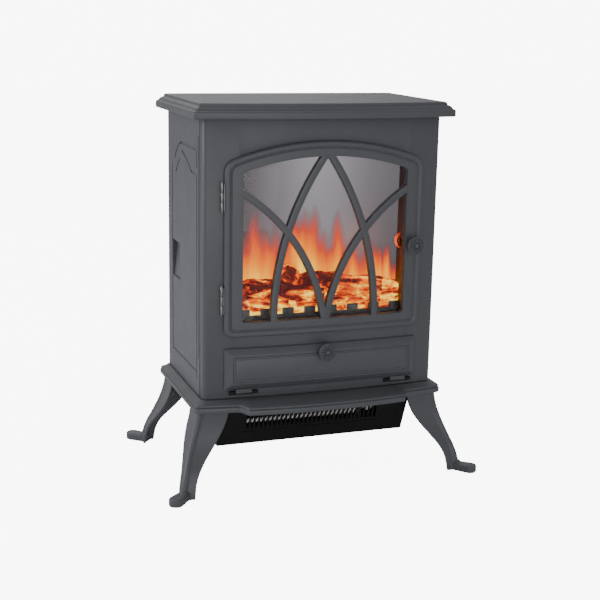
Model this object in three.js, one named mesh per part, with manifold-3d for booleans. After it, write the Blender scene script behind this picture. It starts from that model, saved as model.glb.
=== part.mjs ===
// Free-standing electric stove heater: a bowed cabinet on four cabriole legs, with a lattice door over a
// log and flame effect, a drop-down control flap, and a fan heater under the base.
// Millimetres, +Z up, +X to the object's right as seen from the front, front towards -Y, feet on z = 0.
import * as THREE from "three";
import { mergeVertices } from "three/addons/utils/BufferGeometryUtils.js";
import Module from "manifold-3d";

const wasm = await Module();
wasm.setup();

// Driving dimensions
const gap = 0.3;
const cabinet = { halfWidth: 190, frontY: -114, bow: 9, backY: 109, bottomZ: 143, topZ: 568, wall: 4, seamY: -88 };
const slab = { lipTopZ: 579, topZ: 590.5, lipHalf: 207.5, flatHalf: 194.5, backY: 122, cornerY: -122, bow: 18 };
const base = { bottomZ: 126.3, lipZ: 135.5, halfWidth: 204.5, backY: 118, cornerY: -117, stepY: -127, noseY: -156 };
const leg = { topZ: 126, ridgeX: 198.5, ridgeY: 109.5, wall: 4.5, round: 5, boltInset: 10 };
const toe = { x: 243.5, y: 155, radius: 11.3, heelRadius: 9, height: 12, chamfer: 1.2 };
const door = { halfWidth: 159, bottomZ: 241, archZ: 105, archR: 430, openHalf: 131, openZ: 264, openR: 407 };
const doorDepth = { back: 0.6, face: 8, bead: 9.4, bars: 7.4, flange: -2.3, glassFront: -2.6, glassBack: -5 };
const flangeReach = 1.6; // how far the glass and the flange behind the frame reach past the door opening
const lattice = { barWidth: 10, crossX: 61.5, crossZ: 398 };
const hinge = { x: -162.4, y: -112.6, pinR: 1.1, boreR: 1.18, knuckleR: 2, length: 43, lowZ: [276.5, 432] };
const knob = { doorX: 142, doorZ: 373, flapZ: 213, frontY: -140, radius: 14, petals: 16 };
const flap = { halfWidth: 157.5, bottomZ: 158, topZ: 222.5, slope: 11, face: 9, axisY: -114.4, axisZ: 154.4 };
const firebox = { openHalf: 133.5, bottomZ: 260, archR: 411, innerHalf: 157, floorZ: 243, roofZ: 533, backY: 62 };
const surround = { frontY: -104, plateY: -92.5, wall: 1.5 };
const fender = { y: -89, leftX: -129.1, pitch: 35.6, width: 18, baseZ: 268, topZ: 277.5, merlons: 8 };
const heater = { topHalf: 163, bottomHalf: 157.5, topZ: 138.5, bottomZ: 54.5, frontY: -90, tilt: 20, backY: 44, wall: 1 };
const outlet = { leftX: -112, pitch: 7.45, count: 30, slotWidth: 4, bottomZ: 81, topZ: 105 };
const fan = { y: -22, z: 92, radius: 22, leftX: -112, rightX: 78, blades: 10 };
const spinner = { y: 26, z: 292, leftX: -128, rightX: 112, flags: 9 };
const controls = { plateY: -90, bottomZ: 167, topZ: 221, midZ: 193.5, dialX: 92, dialR: 17 };
const bowR = (cabinet.halfWidth ** 2 + cabinet.bow ** 2) / (2 * cabinet.bow);

// Finishes
const finish = (color, roughness, metalness = 0) => new THREE.MeshStandardMaterial({ color, roughness, metalness });
const stovePaint = () => finish(0x5b5e62, 0.62);
const blackPaint = () => finish(0x151515, 0.5, 0.2);
const steel = () => finish(0xb4b6b8, 0.35, 0.9);
const blackPlastic = () => finish(0x1b1b1c, 0.45);

// Solids
const asSolid = (source) => {
  const geometry = source.clone();
  geometry.deleteAttribute("normal");
  geometry.deleteAttribute("uv");
  const merged = mergeVertices(geometry, 1e-4);
  return new wasm.Manifold(
    new wasm.Mesh({
      numProp: 3,
      vertProperties: new Float32Array(merged.attributes.position.array),
      triVerts: new Uint32Array(merged.index.array),
    }),
  );
};
const asGeometry = (solid) => {
  const mesh = solid.getMesh();
  const geometry = new THREE.BufferGeometry();
  geometry.setAttribute("position", new THREE.BufferAttribute(new Float32Array(mesh.vertProperties), 3));
  geometry.setIndex(new THREE.BufferAttribute(new Uint32Array(mesh.triVerts), 1));
  geometry.computeVertexNormals();
  return geometry;
};
const box = (x0, x1, y0, y1, z0, z1) =>
  asSolid(
    new THREE.BoxGeometry(x1 - x0, y1 - y0, z1 - z0).translate((x0 + x1) / 2, (y0 + y1) / 2, (z0 + z1) / 2),
  );
const extrude = (shape, depth, options = {}) =>
  new THREE.ExtrudeGeometry(shape, { depth, bevelEnabled: false, curveSegments: 6, steps: 1, ...options });
const prismZ = (shape, z0, z1, options) => asSolid(extrude(shape, z1 - z0, options).translate(0, 0, z0));
const alongY = new THREE.Matrix4().makeRotationX(Math.PI / 2); // a shape drawn in x and z, thickened along y
const prismY = (shape, y0, y1, options) =>
  asSolid(extrude(shape, y1 - y0, options).applyMatrix4(alongY).translate(0, y1, 0));
const alongX = new THREE.Matrix4().makeBasis(
  new THREE.Vector3(0, 1, 0),
  new THREE.Vector3(0, 0, 1),
  new THREE.Vector3(1, 0, 0),
); // a shape drawn in y and z, thickened along x
const prismX = (shape, x0, x1, options) =>
  asSolid(extrude(shape, x1 - x0, options).applyMatrix4(alongX).translate(x0, 0, 0));
const polygon = (points) => new THREE.Shape(points.map(([u, v]) => new THREE.Vector2(u, v)));
const rod = (axis, from, to, a, b, radius, sides = 16, endRadius = radius) => {
  const geometry = new THREE.CylinderGeometry(endRadius, radius, to - from, sides);
  const middle = (from + to) / 2;
  if (axis === "x") return asSolid(geometry.rotateZ(-Math.PI / 2).translate(middle, a, b));
  if (axis === "y") return asSolid(geometry.translate(a, middle, b));
  return asSolid(geometry.rotateX(Math.PI / 2).translate(a, b, middle));
};
// A solid through a stack of outlines with equal point counts, each a list of [x, y] at its own z.
const loft = (levels) => {
  const count = levels[0].points.length;
  const position = levels.flatMap(({ z, points }) => points.flatMap(([x, y]) => [x, y, z]));
  const index = [];
  for (let level = 0; level + 1 < levels.length; level++) {
    for (let i = 0; i < count; i++) {
      const a = level * count + i;
      const b = level * count + ((i + 1) % count);
      index.push(a, b, b + count, a, b + count, a + count);
    }
  }
  const cap = (level) =>
    THREE.ShapeUtils.triangulateShape(
      levels[level].points.map(([x, y]) => new THREE.Vector2(x, y)),
      [],
    );
  cap(0).forEach(([a, b, c]) => index.push(a, c, b));
  const last = (levels.length - 1) * count;
  cap(levels.length - 1).forEach(([a, b, c]) => index.push(last + a, last + b, last + c));
  const geometry = new THREE.BufferGeometry();
  geometry.setAttribute("position", new THREE.Float32BufferAttribute(position, 3));
  geometry.setIndex(index);
  return asSolid(geometry);
};

const group = new THREE.Group();
const add = (name, solid, material) => {
  const mesh = new THREE.Mesh(asGeometry(solid), material);
  mesh.name = name;
  group.add(mesh);
};

// The bowed front: y of the surface that stands `out` proud of the fascia at x.
const bowY = (x, out = 0) => cabinet.frontY + bowR - Math.sqrt((bowR + out) ** 2 - x ** 2);
const bowPoints = (half, out, steps) =>
  Array.from({ length: steps + 1 }, (_, i) => {
    const x = half * ((2 * i) / steps - 1);
    return [x, bowY(x, out)];
  });
// A curved plate that follows the bow between two depths, cut from the floor to the top.
const bowPlate = (half, near, far, z0, z1, steps = 8) =>
  prismZ(polygon([...bowPoints(half, far, steps), ...bowPoints(half, near, steps).reverse()]), z0, z1);

// Outlines with an arched head, drawn in x and z
const archTopAt = (radius, x) => door.archZ + Math.sqrt(radius ** 2 - x ** 2);
const archShape = (half, bottom, radius, foot, shoulder) => {
  const side = archTopAt(radius, half);
  const inner = half - shoulder * 0.8;
  const start = Math.acos(inner / radius);
  const shape = new THREE.Shape();
  shape.moveTo(-half + foot, bottom);
  shape.lineTo(half - foot, bottom);
  shape.absarc(half - foot, bottom + foot, foot, -Math.PI / 2, 0, false);
  shape.lineTo(half, side - shoulder);
  shape.quadraticCurveTo(half, side - 1, inner, archTopAt(radius, inner));
  shape.absarc(0, door.archZ, radius, start, Math.PI - start, false);
  shape.quadraticCurveTo(-half, side - 1, -half, side - shoulder);
  shape.lineTo(-half, bottom + foot);
  shape.absarc(-half + foot, bottom + foot, foot, Math.PI, Math.PI * 1.5, false);
  return shape;
};

// Circle through three points, for the lattice bars
const circleThrough = ([ax, ay], [bx, by], [cx, cy]) => {
  const d = 2 * (ax * (by - cy) + bx * (cy - ay) + cx * (ay - by));
  const [aa, bb, cc] = [ax * ax + ay * ay, bx * bx + by * by, cx * cx + cy * cy];
  const x = (aa * (by - cy) + bb * (cy - ay) + cc * (ay - by)) / d;
  const y = (aa * (cx - bx) + bb * (ax - cx) + cc * (bx - ax)) / d;
  return { x, y, radius: Math.hypot(ax - x, ay - y) };
};
const arcBand = (start, middle, end, width, overrun, steps = 8) => {
  const { x, y, radius } = circleThrough(start, middle, end);
  const angle = ([px, py]) => Math.atan2(py - y, px - x);
  const unwrap = (value, near) => value + 2 * Math.PI * Math.round((near - value) / (2 * Math.PI));
  const mid = angle(middle);
  const [from, to] = [unwrap(angle(start), mid), unwrap(angle(end), mid)];
  const extra = (Math.sign(to - from) * overrun) / radius;
  const side = (r) =>
    Array.from({ length: steps + 1 }, (_, i) => {
      const t = from - extra + ((to - from + 2 * extra) * i) / steps;
      return [x + r * Math.cos(t), y + r * Math.sin(t)];
    });
  return polygon([...side(radius + width / 2), ...side(radius - width / 2).reverse()]);
};

// Cabinet: slab, base, fascia, sides and back
const slabOutline = (inset) => {
  const half = slab.lipHalf - inset;
  const back = slab.backY - inset;
  const corner = slab.cornerY + inset;
  const radius = 9;
  const backRadius = 4;
  const arc = (x, y, r, from, to, steps) =>
    Array.from({ length: steps + 1 }, (_, i) => {
      const t = from + ((to - from) * i) / steps;
      return [x + r * Math.cos(t), y + r * Math.sin(t)];
    });
  const front = Array.from({ length: 11 }, (_, i) => {
    const x = (half - radius) * ((2 * (i + 1)) / 12 - 1);
    return [x, corner - slab.bow * (1 - (x / half) ** 2)];
  });
  return [
    ...arc(-half + radius, corner + radius - 1, radius, Math.PI, Math.PI * 1.45, 4),
    ...front,
    ...arc(half - radius, corner + radius - 1, radius, -Math.PI * 0.45, 0, 4),
    ...arc(half - backRadius, back - backRadius, backRadius, 0, Math.PI / 2, 2),
    ...arc(-half + backRadius, back - backRadius, backRadius, Math.PI / 2, Math.PI, 2),
  ];
};
const slabDrop = slab.topZ - slab.lipTopZ;
const slabRun = slab.lipHalf - slab.flatHalf;
const slabProfile = [
  [1.2, 0, cabinet.topZ + gap],
  [0, 0, cabinet.topZ + 2],
  [0, 0, slab.lipTopZ - 1],
  [1.5, 0, slab.lipTopZ],
  [slabRun * 0.45, slabDrop * 0.22, slab.lipTopZ],
  [slabRun * 0.7, slabDrop * 0.55, slab.lipTopZ],
  [slabRun * 0.82, slabDrop * 0.8, slab.lipTopZ],
  [slabRun, slabDrop, slab.lipTopZ],
];
add(
  "top_slab",
  loft(slabProfile.map(([inset, rise, z]) => ({ z: z + rise, points: slabOutline(inset) }))).subtract(
    box(-176, 176, -96, 98, cabinet.topZ - 1, slab.topZ - 4),
  ),
  stovePaint(),
);

// Base: straight lips at the ends, an S-curve, then a bowed nose in front of the door
const baseLipY = (x) => {
  const ends = [base.halfWidth, 140, 126];
  const across = Math.abs(x);
  if (across >= ends[1]) {
    const t = (ends[0] - across) / (ends[0] - ends[1]);
    return base.cornerY + (base.stepY - base.cornerY) * t;
  }
  const nose = base.noseY + 8 * (across / ends[2]) ** 2;
  if (across <= ends[2]) return nose;
  const s = (ends[1] - across) / (ends[1] - ends[2]);
  return base.stepY + (base.noseY + 8 - base.stepY) * s * s * (3 - 2 * s);
};
const baseFrontX = [-198, -170, -146, -140, -136, -132, -128, -124, -100, -66, -33, 0];
const baseStations = [...baseFrontX, ...baseFrontX.slice(0, -1).map((x) => -x).reverse()];
const basePoints = (inset, foot) => {
  const half = foot ? cabinet.halfWidth + 1.5 : base.halfWidth - inset;
  const scale = half / base.halfWidth;
  const back = foot ? cabinet.backY + 1.5 : base.backY - inset;
  const y = (x) => (foot ? bowY(x * scale, 1.5) : baseLipY(x) + inset);
  const corner = foot ? -99 : base.cornerY + 6 + inset;
  return [
    [-half, back - 3],
    [-half, corner],
    ...baseStations.map((x) => [x * scale, y(x)]),
    [half, corner],
    [half, back - 3],
    [half - 3, back],
    [-half + 3, back],
  ];
};
const wireHole = rod("z", base.bottomZ, cabinet.bottomZ + 1, 120, 70, 11, 12);
add(
  "base_plate",
  loft([
    { z: base.bottomZ, points: basePoints(1.5, false) },
    { z: base.bottomZ + 1.5, points: basePoints(0, false) },
    { z: base.lipZ - 1.5, points: basePoints(0, false) },
    { z: base.lipZ, points: basePoints(1.5, false) },
    { z: cabinet.bottomZ, points: basePoints(0, true) },
  ])
    .subtract(box(-184, 184, -97, 104, base.bottomZ - 1, cabinet.bottomZ - 4))
    .subtract(wireHole),
  stovePaint(),
);

const bodyZ = [cabinet.bottomZ + gap, cabinet.topZ];
const backSheet = { front: cabinet.backY - 1.2, half: cabinet.halfWidth - 0.5 };
const cornerRadius = 8;
const fasciaShape = () => {
  const cornerX = cabinet.halfWidth - cornerRadius;
  const outer = bowPoints(cornerX, 0, 10);
  const inner = bowPoints(cornerX - 1, -cabinet.wall, 10).reverse();
  const turn = (side) =>
    [1, 0.68, 0.36].map((part) => {
      const angle = (part * Math.PI) / 2;
      const y = bowY(cornerX) + cornerRadius * (1 - Math.cos(angle));
      return [side * (cornerX + cornerRadius * Math.sin(angle)), y];
    });
  return polygon([
    [-cabinet.halfWidth, cabinet.seamY],
    ...turn(-1),
    ...outer,
    ...turn(1).reverse(),
    [cabinet.halfWidth, cabinet.seamY],
    [cabinet.halfWidth - cabinet.wall, cabinet.seamY],
    ...inner,
    [-cabinet.halfWidth + cabinet.wall, cabinet.seamY],
  ]);
};
const fireHole = prismY(archShape(firebox.openHalf, firebox.bottomZ, firebox.archR, 5, 5), -140, -60);
const flapHole = box(-146, 146, -140, -60, 170, 217);
add("front_fascia", prismZ(fasciaShape(), ...bodyZ).subtract(fireHole).subtract(flapHole), stovePaint());

// Side panels: pressed panel lines with a gothic head, and a carry grip let into the wall
const groove = { width: 2.4, depth: 1.2 };
const grooveRuns = [
  [[-72, 168], [-72, 482], [-39, 484]],
  [[-72, 180], [80, 180], [80, 484]],
  [[-71, 493], [-71, 521], [27, 521]],
];
const grooveArcs = [
  [[-39, 484], [-8, 501], [17, 508.5]],
  [[55, 472], [44, 485], [29, 494.5]],
  [[64, 492], [47, 509], [27, 519.5]],
];
const grooveBar = ([ay, az], [by, bz]) => {
  const length = Math.hypot(by - ay, bz - az);
  const [uy, uz] = [((by - ay) / length) * 1.2, ((bz - az) / length) * 1.2];
  return polygon([
    [ay - uy + uz, az - uz - uy],
    [by + uy + uz, bz + uz - uy],
    [by + uy - uz, bz + uz + uy],
    [ay - uy - uz, az - uz + uy],
  ]);
};
const grip = { frontY: 32, backY: 78, bottomZ: 302, topZ: 361, depth: 8, wall: 2.5 };
const sidePanel = () => {
  const [inner, outer] = [cabinet.halfWidth - cabinet.wall, cabinet.halfWidth];
  const cutAt = outer - groove.depth;
  let panel = box(inner, outer, cabinet.seamY + gap, backSheet.front - gap, ...bodyZ);
  const bars = grooveRuns.flatMap((run) => run.slice(1).map((point, i) => grooveBar(run[i], point)));
  const arcs = grooveArcs.map(([a, b, c]) => arcBand(a, b, c, groove.width, 0, 4));
  [...bars, ...arcs].forEach((shape) => {
    panel = panel.subtract(prismX(shape, cutAt, outer + 1));
  });
  const slopePrism = (grow, depth, reach) => {
    const shape = new THREE.Shape();
    shape.moveTo(outer + reach, grip.bottomZ - grow);
    shape.lineTo(outer + reach, grip.topZ + grow);
    shape.lineTo(outer - depth, grip.topZ + grow);
    shape.lineTo(outer - (grow ? cabinet.wall : 0), grip.bottomZ - grow);
    return asSolid(
      extrude(shape, grip.backY - grip.frontY + 2 * grow)
        .applyMatrix4(alongY)
        .translate(0, grip.backY + grow, 0),
    );
  };
  return panel.add(slopePrism(grip.wall, grip.depth + grip.wall, 0)).subtract(slopePrism(0, grip.depth, 1));
};
add("right_side_panel", sidePanel(), stovePaint());
add("left_side_panel", sidePanel().mirror([1, 0, 0]), stovePaint());

const backCover = () => {
  let sheet = box(-backSheet.half, backSheet.half, backSheet.front, cabinet.backY, ...bodyZ);
  for (const [centre, rows] of [
    [205, 6],
    [480, 6],
  ]) {
    for (let row = 0; row < rows; row++) {
      for (const x of [-62, 62]) {
        const z = centre + (row - (rows - 1) / 2) * 11;
        sheet = sheet.subtract(box(x - 50, x + 50, backSheet.front - 1, cabinet.backY + 1, z - 2, z + 2));
      }
    }
  }
  return sheet.subtract(rod("y", backSheet.front - 1, cabinet.backY + 1, 150, 165, 8, 16));
};
add("back_cover", backCover(), finish(0x2c2d2f, 0.55, 0.3));
add(
  "cable_gland",
  rod("y", backSheet.front - 6, cabinet.backY + 9, 150, 165, 7.6, 16)
    .add(rod("y", cabinet.backY + gap, cabinet.backY + 3, 150, 165, 11, 16))
    .subtract(rod("y", backSheet.front - 8, cabinet.backY + 10, 150, 165, 3.6, 12)),
  blackPlastic(),
);

// Legs: two curved flanges meeting at a rounded ridge, standing on a toe that points outwards.
// Each level gives the height, how far the ridge has moved out in x and y, and the flange width.
const legLevels = [
  [0, 35.1, 35.2, 23],
  [12, 33.7, 33.6, 23],
  [26, 31, 30.2, 23.3],
  [40, 27, 24.8, 26],
  [54, 22, 16.6, 31.5],
  [72, 15.5, 7.8, 40],
  [90, 9, 2.2, 46.3],
  [108, 3.3, 0.4, 49],
  [leg.topZ, 0, 0, 50],
];
const legSection = ([z, pushX, pushY, width]) => {
  const [x, y] = [leg.ridgeX + pushX, leg.ridgeY + pushY];
  const ridge = [0, 0.33, 0.67, 1].map((part) => {
    const angle = (part * Math.PI) / 2;
    return [x - leg.round * (1 - Math.cos(angle)), y - leg.round * (1 - Math.sin(angle))];
  });
  const points = [
    [x, y - width],
    ...ridge,
    [x - width, y],
    [x - width, y - leg.wall],
    [x - leg.wall, y - leg.wall],
    [x - leg.wall, y - width],
  ];
  return { z, points };
};
const boltSpot = [leg.ridgeX - leg.boltInset, leg.ridgeY - leg.boltInset];
const legSolid = () => {
  const blade = loft(legLevels.map(legSection));
  const [, ankleX, ankleY] = legLevels[1];
  const [ax, ay] = [leg.ridgeX + ankleX - leg.round, leg.ridgeY + ankleY - leg.round];
  const heading = Math.atan2(toe.y - ay, toe.x - ax);
  const [front, back] = [toe.radius - toe.chamfer, toe.heelRadius - toe.chamfer];
  const sole = new THREE.Shape();
  sole.absarc(toe.x, toe.y, front, heading - Math.PI / 2, heading + Math.PI / 2, false);
  sole.absarc(ax, ay, back, heading + Math.PI / 2, heading + Math.PI * 1.5, false);
  const bevel = { bevelEnabled: true, bevelThickness: toe.chamfer, bevelSize: toe.chamfer, bevelSegments: 1 };
  const shoe = prismZ(sole, toe.chamfer, toe.height - toe.chamfer, bevel);
  const boss = rod("z", 98, leg.topZ, ...boltSpot, 8, 8);
  const bore = rod("z", 96, leg.topZ + 1, ...boltSpot, 3.3, 6);
  return blade.add(shoe).add(boss).subtract(bore);
};
const boltSolid = () =>
  rod("z", 90, 97.7, ...boltSpot, 5.5, 6).add(rod("z", 95, leg.topZ - 0.5, ...boltSpot, 2.8, 6));
for (const [name, sx, sy] of [
  ["front_left", -1, -1],
  ["front_right", 1, -1],
  ["back_left", -1, 1],
  ["back_right", 1, 1],
]) {
  const place = (solid) => {
    const across = sx < 0 ? solid.mirror([1, 0, 0]) : solid;
    return sy < 0 ? across.mirror([0, 1, 0]) : across;
  };
  add(`leg_${name}`, place(legSolid()), stovePaint());
  add(`leg_bolt_${name}`, place(boltSolid()), steel());
}

// Door: arched frame with a gothic lattice, glass behind the lattice, hung at its left edge
const doorTop = door.archZ + door.archR;
const doorShape = archShape(door.halfWidth, door.bottomZ, door.archR, 14, 18);
const openingShape = (grow, corner = 4) =>
  archShape(door.openHalf + grow, door.openZ - grow, door.openR + grow, corner, corner);
const inside = (shape) => prismY(shape, -150, -90);
const doorPlate = (near, far) => bowPlate(door.halfWidth + 4, near, far, door.bottomZ - 5, doorTop + 5);
const doorSolid = () => {
  const whole = inside(doorShape);
  const opening = inside(openingShape(0));
  const beadInner = archShape(door.halfWidth - 9, door.bottomZ + 9, door.archR - 9, 8, 12);
  const bead = whole.subtract(inside(beadInner)).intersect(doorPlate(doorDepth.face - 1, doorDepth.bead));
  const flange = inside(openingShape(flangeReach));
  const barShapes = [1, -1].flatMap((side) => {
    const crossing = [-lattice.crossX * side, lattice.crossZ];
    return [
      arcBand([-4 * side, 514], crossing, [-82 * side, 264], lattice.barWidth, 6),
      arcBand([-131 * side, 459], crossing, [-2 * side, 264], lattice.barWidth, 6),
    ];
  });
  const bars = barShapes.map(inside).reduce((joined, bar) => joined.add(bar));
  return whole
    .subtract(opening)
    .intersect(doorPlate(doorDepth.back, doorDepth.face))
    .add(bead)
    .add(flange.subtract(opening).intersect(doorPlate(doorDepth.flange, doorDepth.back + 1)))
    .add(bars.intersect(flange).intersect(doorPlate(doorDepth.flange, doorDepth.bars)));
};
add("door_frame", doorSolid(), stovePaint());
add(
  "door_glass",
  inside(openingShape(flangeReach, 5)).intersect(doorPlate(doorDepth.glassBack, doorDepth.glassFront)),
  finish(0xdfe6e8, 0.05),
);

const hingeRows = [
  ["lower", hinge.lowZ[0]],
  ["upper", hinge.lowZ[1]],
];
const knuckle = (from, to, radius, sides = 10) => rod("z", from, to, hinge.x, hinge.y, radius, sides);
for (const [name, z] of hingeRows) {
  const third = hinge.length / 3;
  const top = z + hinge.length;
  const faceY = bowY(hinge.x) - gap;
  const bore = knuckle(z - 1, top + 1, hinge.boreR);
  const foot = box(hinge.x - 0.8, hinge.x + 0.8, hinge.y + 2.6, faceY, z, top);
  const arms = [
    [z, z + third],
    [top - third, top],
  ]
    .map(([from, to]) =>
      box(hinge.x - 0.8, hinge.x + 0.8, hinge.y, hinge.y + 3, from, to).add(knuckle(from, to, hinge.knuckleR)),
    )
    .reduce((joined, next) => joined.add(next));
  add(`hinge_bracket_${name}`, arms.add(foot).subtract(bore), steel());
  const edge = -door.halfWidth - gap;
  const leaf = box(edge - 0.9, edge, hinge.y - 3, hinge.y + 3, z + 1, top - 1);
  const tongue = box(hinge.x, edge - 0.4, hinge.y - 0.6, hinge.y + 0.6, z + third + 0.4, top - third - 0.4);
  const barrel = knuckle(z + third + 0.4, top - third - 0.4, hinge.knuckleR);
  add(`door_hinge_leaf_${name}`, barrel.add(tongue).add(leaf).subtract(bore), steel());
  const head = knuckle(top + gap, top + 1.6, 2.2);
  add(`hinge_pin_${name}`, knuckle(z - 1, top + 1, hinge.pinR).add(head), steel());
}

// Rosette knobs with radial petals and a small domed centre
const rosetteShape = (x, z) =>
  polygon(
    Array.from({ length: knob.petals * 2 }, (_, i) => {
      const t = (i / (knob.petals * 2)) * 2 * Math.PI;
      const r = knob.radius - 1.5 - (i % 2 === 0 ? 1.2 : 0);
      return [x + r * Math.cos(t), z + r * Math.sin(t)];
    }),
  );
const rosette = (x, z, rootY) => {
  const bevel = { bevelEnabled: true, bevelThickness: 1.6, bevelSize: 1.5, bevelSegments: 1 };
  const disc = prismY(rosetteShape(x, z), knob.frontY + 3.6, knob.frontY + 8, bevel);
  const dome = asSolid(
    new THREE.LatheGeometry(
      [
        [0, knob.frontY],
        [3, knob.frontY + 0.7],
        [5, knob.frontY + 2.6],
        [5.4, knob.frontY + 5],
        [0, knob.frontY + 5],
      ]
        .map(([r, y]) => new THREE.Vector2(r, y)),
      10,
    ).translate(x, 0, z),
  );
  const neck = rod("y", knob.frontY + 7, rootY, x, z, 5.5, 10, 7);
  return disc.add(dome).add(neck);
};
const doorFaceAtKnob = bowY(knob.doorX, doorDepth.face) - 0.9;
add("door_knob", rosette(knob.doorX, knob.doorZ, doorFaceAtKnob), stovePaint());

// Control flap: bevelled panel hinged along its lower edge on two pins
const flapBlock = (inset) => {
  const [x, z0, z1] = [flap.halfWidth - inset, flap.bottomZ + inset, flap.topZ - inset];
  return prismY(polygon([[-x, z0], [x, z0], [x, z1], [-x, z1]]), -150, -90);
};
const flapPlate = (near, far) => bowPlate(flap.halfWidth + 2, near, far, flap.bottomZ - 8, flap.topZ + 10);
const flapEarX = [115, 140];
const flapBoreR = 1.38;
const flapSolid = () => {
  const [skirtBack, skirtFront, layers] = [0.6, 2.2, 3];
  let raised = flapBlock(0).intersect(flapPlate(skirtBack, skirtFront));
  const rise = (flap.face - skirtFront) / layers;
  for (let i = 0; i < layers; i++) {
    const inset = flap.slope * (1 - Math.cos((((i + 1) / layers) * Math.PI) / 2));
    const near = skirtFront - 0.1 + i * rise;
    raised = raised.add(flapBlock(inset).intersect(flapPlate(near, near + 0.1 + rise)));
  }
  const lineInset = flap.slope + 2;
  const line = flapBlock(lineInset).subtract(flapBlock(lineInset + 1.4));
  raised = raised.subtract(line.intersect(flapPlate(flap.face - 0.8, flap.face + 3)));
  for (const side of [-1, 1]) {
    const [x0, x1] = side < 0 ? [-flapEarX[1], -flapEarX[0]] : flapEarX;
    const ear = rod("x", x0, x1, flap.axisY, flap.axisZ, 2.4, 10)
      .add(box(x0, x1, flap.axisY - 1, flap.axisY + 2, flap.axisZ, flap.bottomZ + 2))
      .subtract(rod("x", x0 - 1, x1 + 1, flap.axisY, flap.axisZ, flapBoreR, 10));
    raised = raised.add(ear);
  }
  return raised;
};
add("control_flap", flapSolid(), stovePaint());
add("flap_knob", rosette(0, knob.flapZ, bowY(0, flap.face) - 0.3), stovePaint());
for (const [name, side] of [
  ["left", -1],
  ["right", 1],
]) {
  const across = (x0, x1) => (side < 0 ? [-x1, -x0] : [x0, x1]);
  const [x0, x1] = across(105, 150);
  const faceY = bowY(110) - gap;
  const lug = (from, to) =>
    box(...across(from, to), flap.axisY - 2, faceY, flap.axisZ - 6, flap.axisZ + 2.2);
  const strap = box(x0, x1, faceY - 1.4, faceY, flap.axisZ - 6, flap.axisZ - 2.8);
  const bracket = lug(105, 114.5)
    .add(lug(140.5, 150))
    .add(strap)
    .subtract(rod("x", x0 - 1, x1 + 1, flap.axisY, flap.axisZ, flapBoreR, 10))
    .subtract(bowPlate(180, -8, gap, 140, 180));
  add(`flap_hinge_bracket_${name}`, bracket, blackPaint());
  add(`flap_hinge_pin_${name}`, rod("x", x0, x1, flap.axisY, flap.axisZ, 1.3, 10), steel());
}

// Control panel behind the flap: three rocker switches and a thermostat dial
const rockerX = [-96, -52, -8];
const rockerHalf = { x: 8, z: 11 };
const panelSolid = () => {
  let tray = box(-150, 150, -101.5, controls.plateY + 2.5, controls.bottomZ - 2, controls.topZ + 2);
  tray = tray.subtract(box(-147.5, 147.5, -110, controls.plateY, controls.bottomZ, controls.topZ));
  rockerX.forEach((x) => {
    const [dx, dz] = [rockerHalf.x + 0.6, rockerHalf.z + 0.6];
    tray = tray.subtract(box(x - dx, x + dx, -100, -80, controls.midZ - dz, controls.midZ + dz));
  });
  return tray.subtract(rod("y", -100, -80, controls.dialX, controls.midZ, 3.6, 16));
};
add("control_panel", panelSolid(), blackPlastic());
const rockerSolid = (x) => {
  const pivotY = controls.plateY + 3;
  const reach = rockerHalf.z;
  const profile = polygon([
    [pivotY + 4, controls.midZ - 4],
    [pivotY + 4, controls.midZ + 4],
    [pivotY - 2.2, controls.midZ + reach],
    [pivotY - 7.4, controls.midZ + reach - 1],
    [pivotY - 4.6, controls.midZ],
    [pivotY - 4.6, controls.midZ - reach + 1],
    [pivotY + 0.6, controls.midZ - reach],
  ].reverse());
  return prismX(profile, x - rockerHalf.x, x + rockerHalf.x);
};
["flame_switch", "low_heat_switch", "high_heat_switch"].forEach((name, i) => {
  add(name, rockerSolid(rockerX[i]), finish(i ? 0xa32018 : 0x222222, 0.4));
});
const dialSolid = () => {
  const { plateY, dialX, midZ, dialR } = controls;
  const skirt = rod("y", plateY - 6, plateY - 0.6, dialX, midZ, dialR, 28);
  const bar = box(dialX - 2.5, dialX + 2.5, plateY - 12, plateY - 5, midZ - 14, midZ + 14);
  return skirt.add(bar).add(rod("y", plateY - 1, plateY + 6, dialX, midZ, 3.2, 16));
};
add("thermostat_dial", dialSolid(), blackPlastic());
add(
  "thermostat_body",
  box(controls.dialX - 16, controls.dialX + 16, controls.plateY + 7, controls.plateY + 23, 176, 211),
  finish(0xd9d4c6, 0.5),
);

// Fire effect: liner, screen, logs, fender, lights and the turning reflector rod
const linerSolid = () => {
  const [half, wall] = [firebox.innerHalf, 0.8];
  const frontY = surround.plateY + surround.wall + gap;
  const [z0, z1] = [firebox.floorZ - wall, firebox.roofZ + wall];
  const outer = box(-half - wall, half + wall, frontY, firebox.backY + wall, z0, z1);
  return outer.subtract(box(-half, half, -110, firebox.backY, firebox.floorZ, firebox.roofZ));
};
add("firebox_liner", linerSolid(), finish(0x141414, 0.6, 0.3));
const surroundArch = (grow) =>
  archShape(firebox.openHalf + grow, firebox.bottomZ - grow, firebox.archR + grow, 5, 5);
const surroundSolid = () => {
  const { frontY, plateY, wall } = surround;
  const half = firebox.innerHalf + 0.8;
  const collar = prismY(surroundArch(2), frontY, plateY + 1);
  const plate = box(-half, half, plateY, plateY + wall, firebox.floorZ - 0.8, firebox.roofZ + 0.8);
  return collar.add(plate).subtract(prismY(surroundArch(0.5), frontY - 1, plateY + 5));
};
add("fire_surround", surroundSolid(), finish(0x1a1816, 0.6, 0.2));
add(
  "door_magnet",
  rod("y", surround.plateY + surround.wall + gap, -82, knob.doorX, knob.doorZ, 13.7, 24).subtract(
    rod("y", -84, -70, knob.doorX, knob.doorZ, 3, 10),
  ),
  finish(0xb9a48a, 0.5),
);
const screen = { half: firebox.innerHalf - gap, y: -26, z: [firebox.floorZ + gap, firebox.roofZ - gap] };
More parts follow.
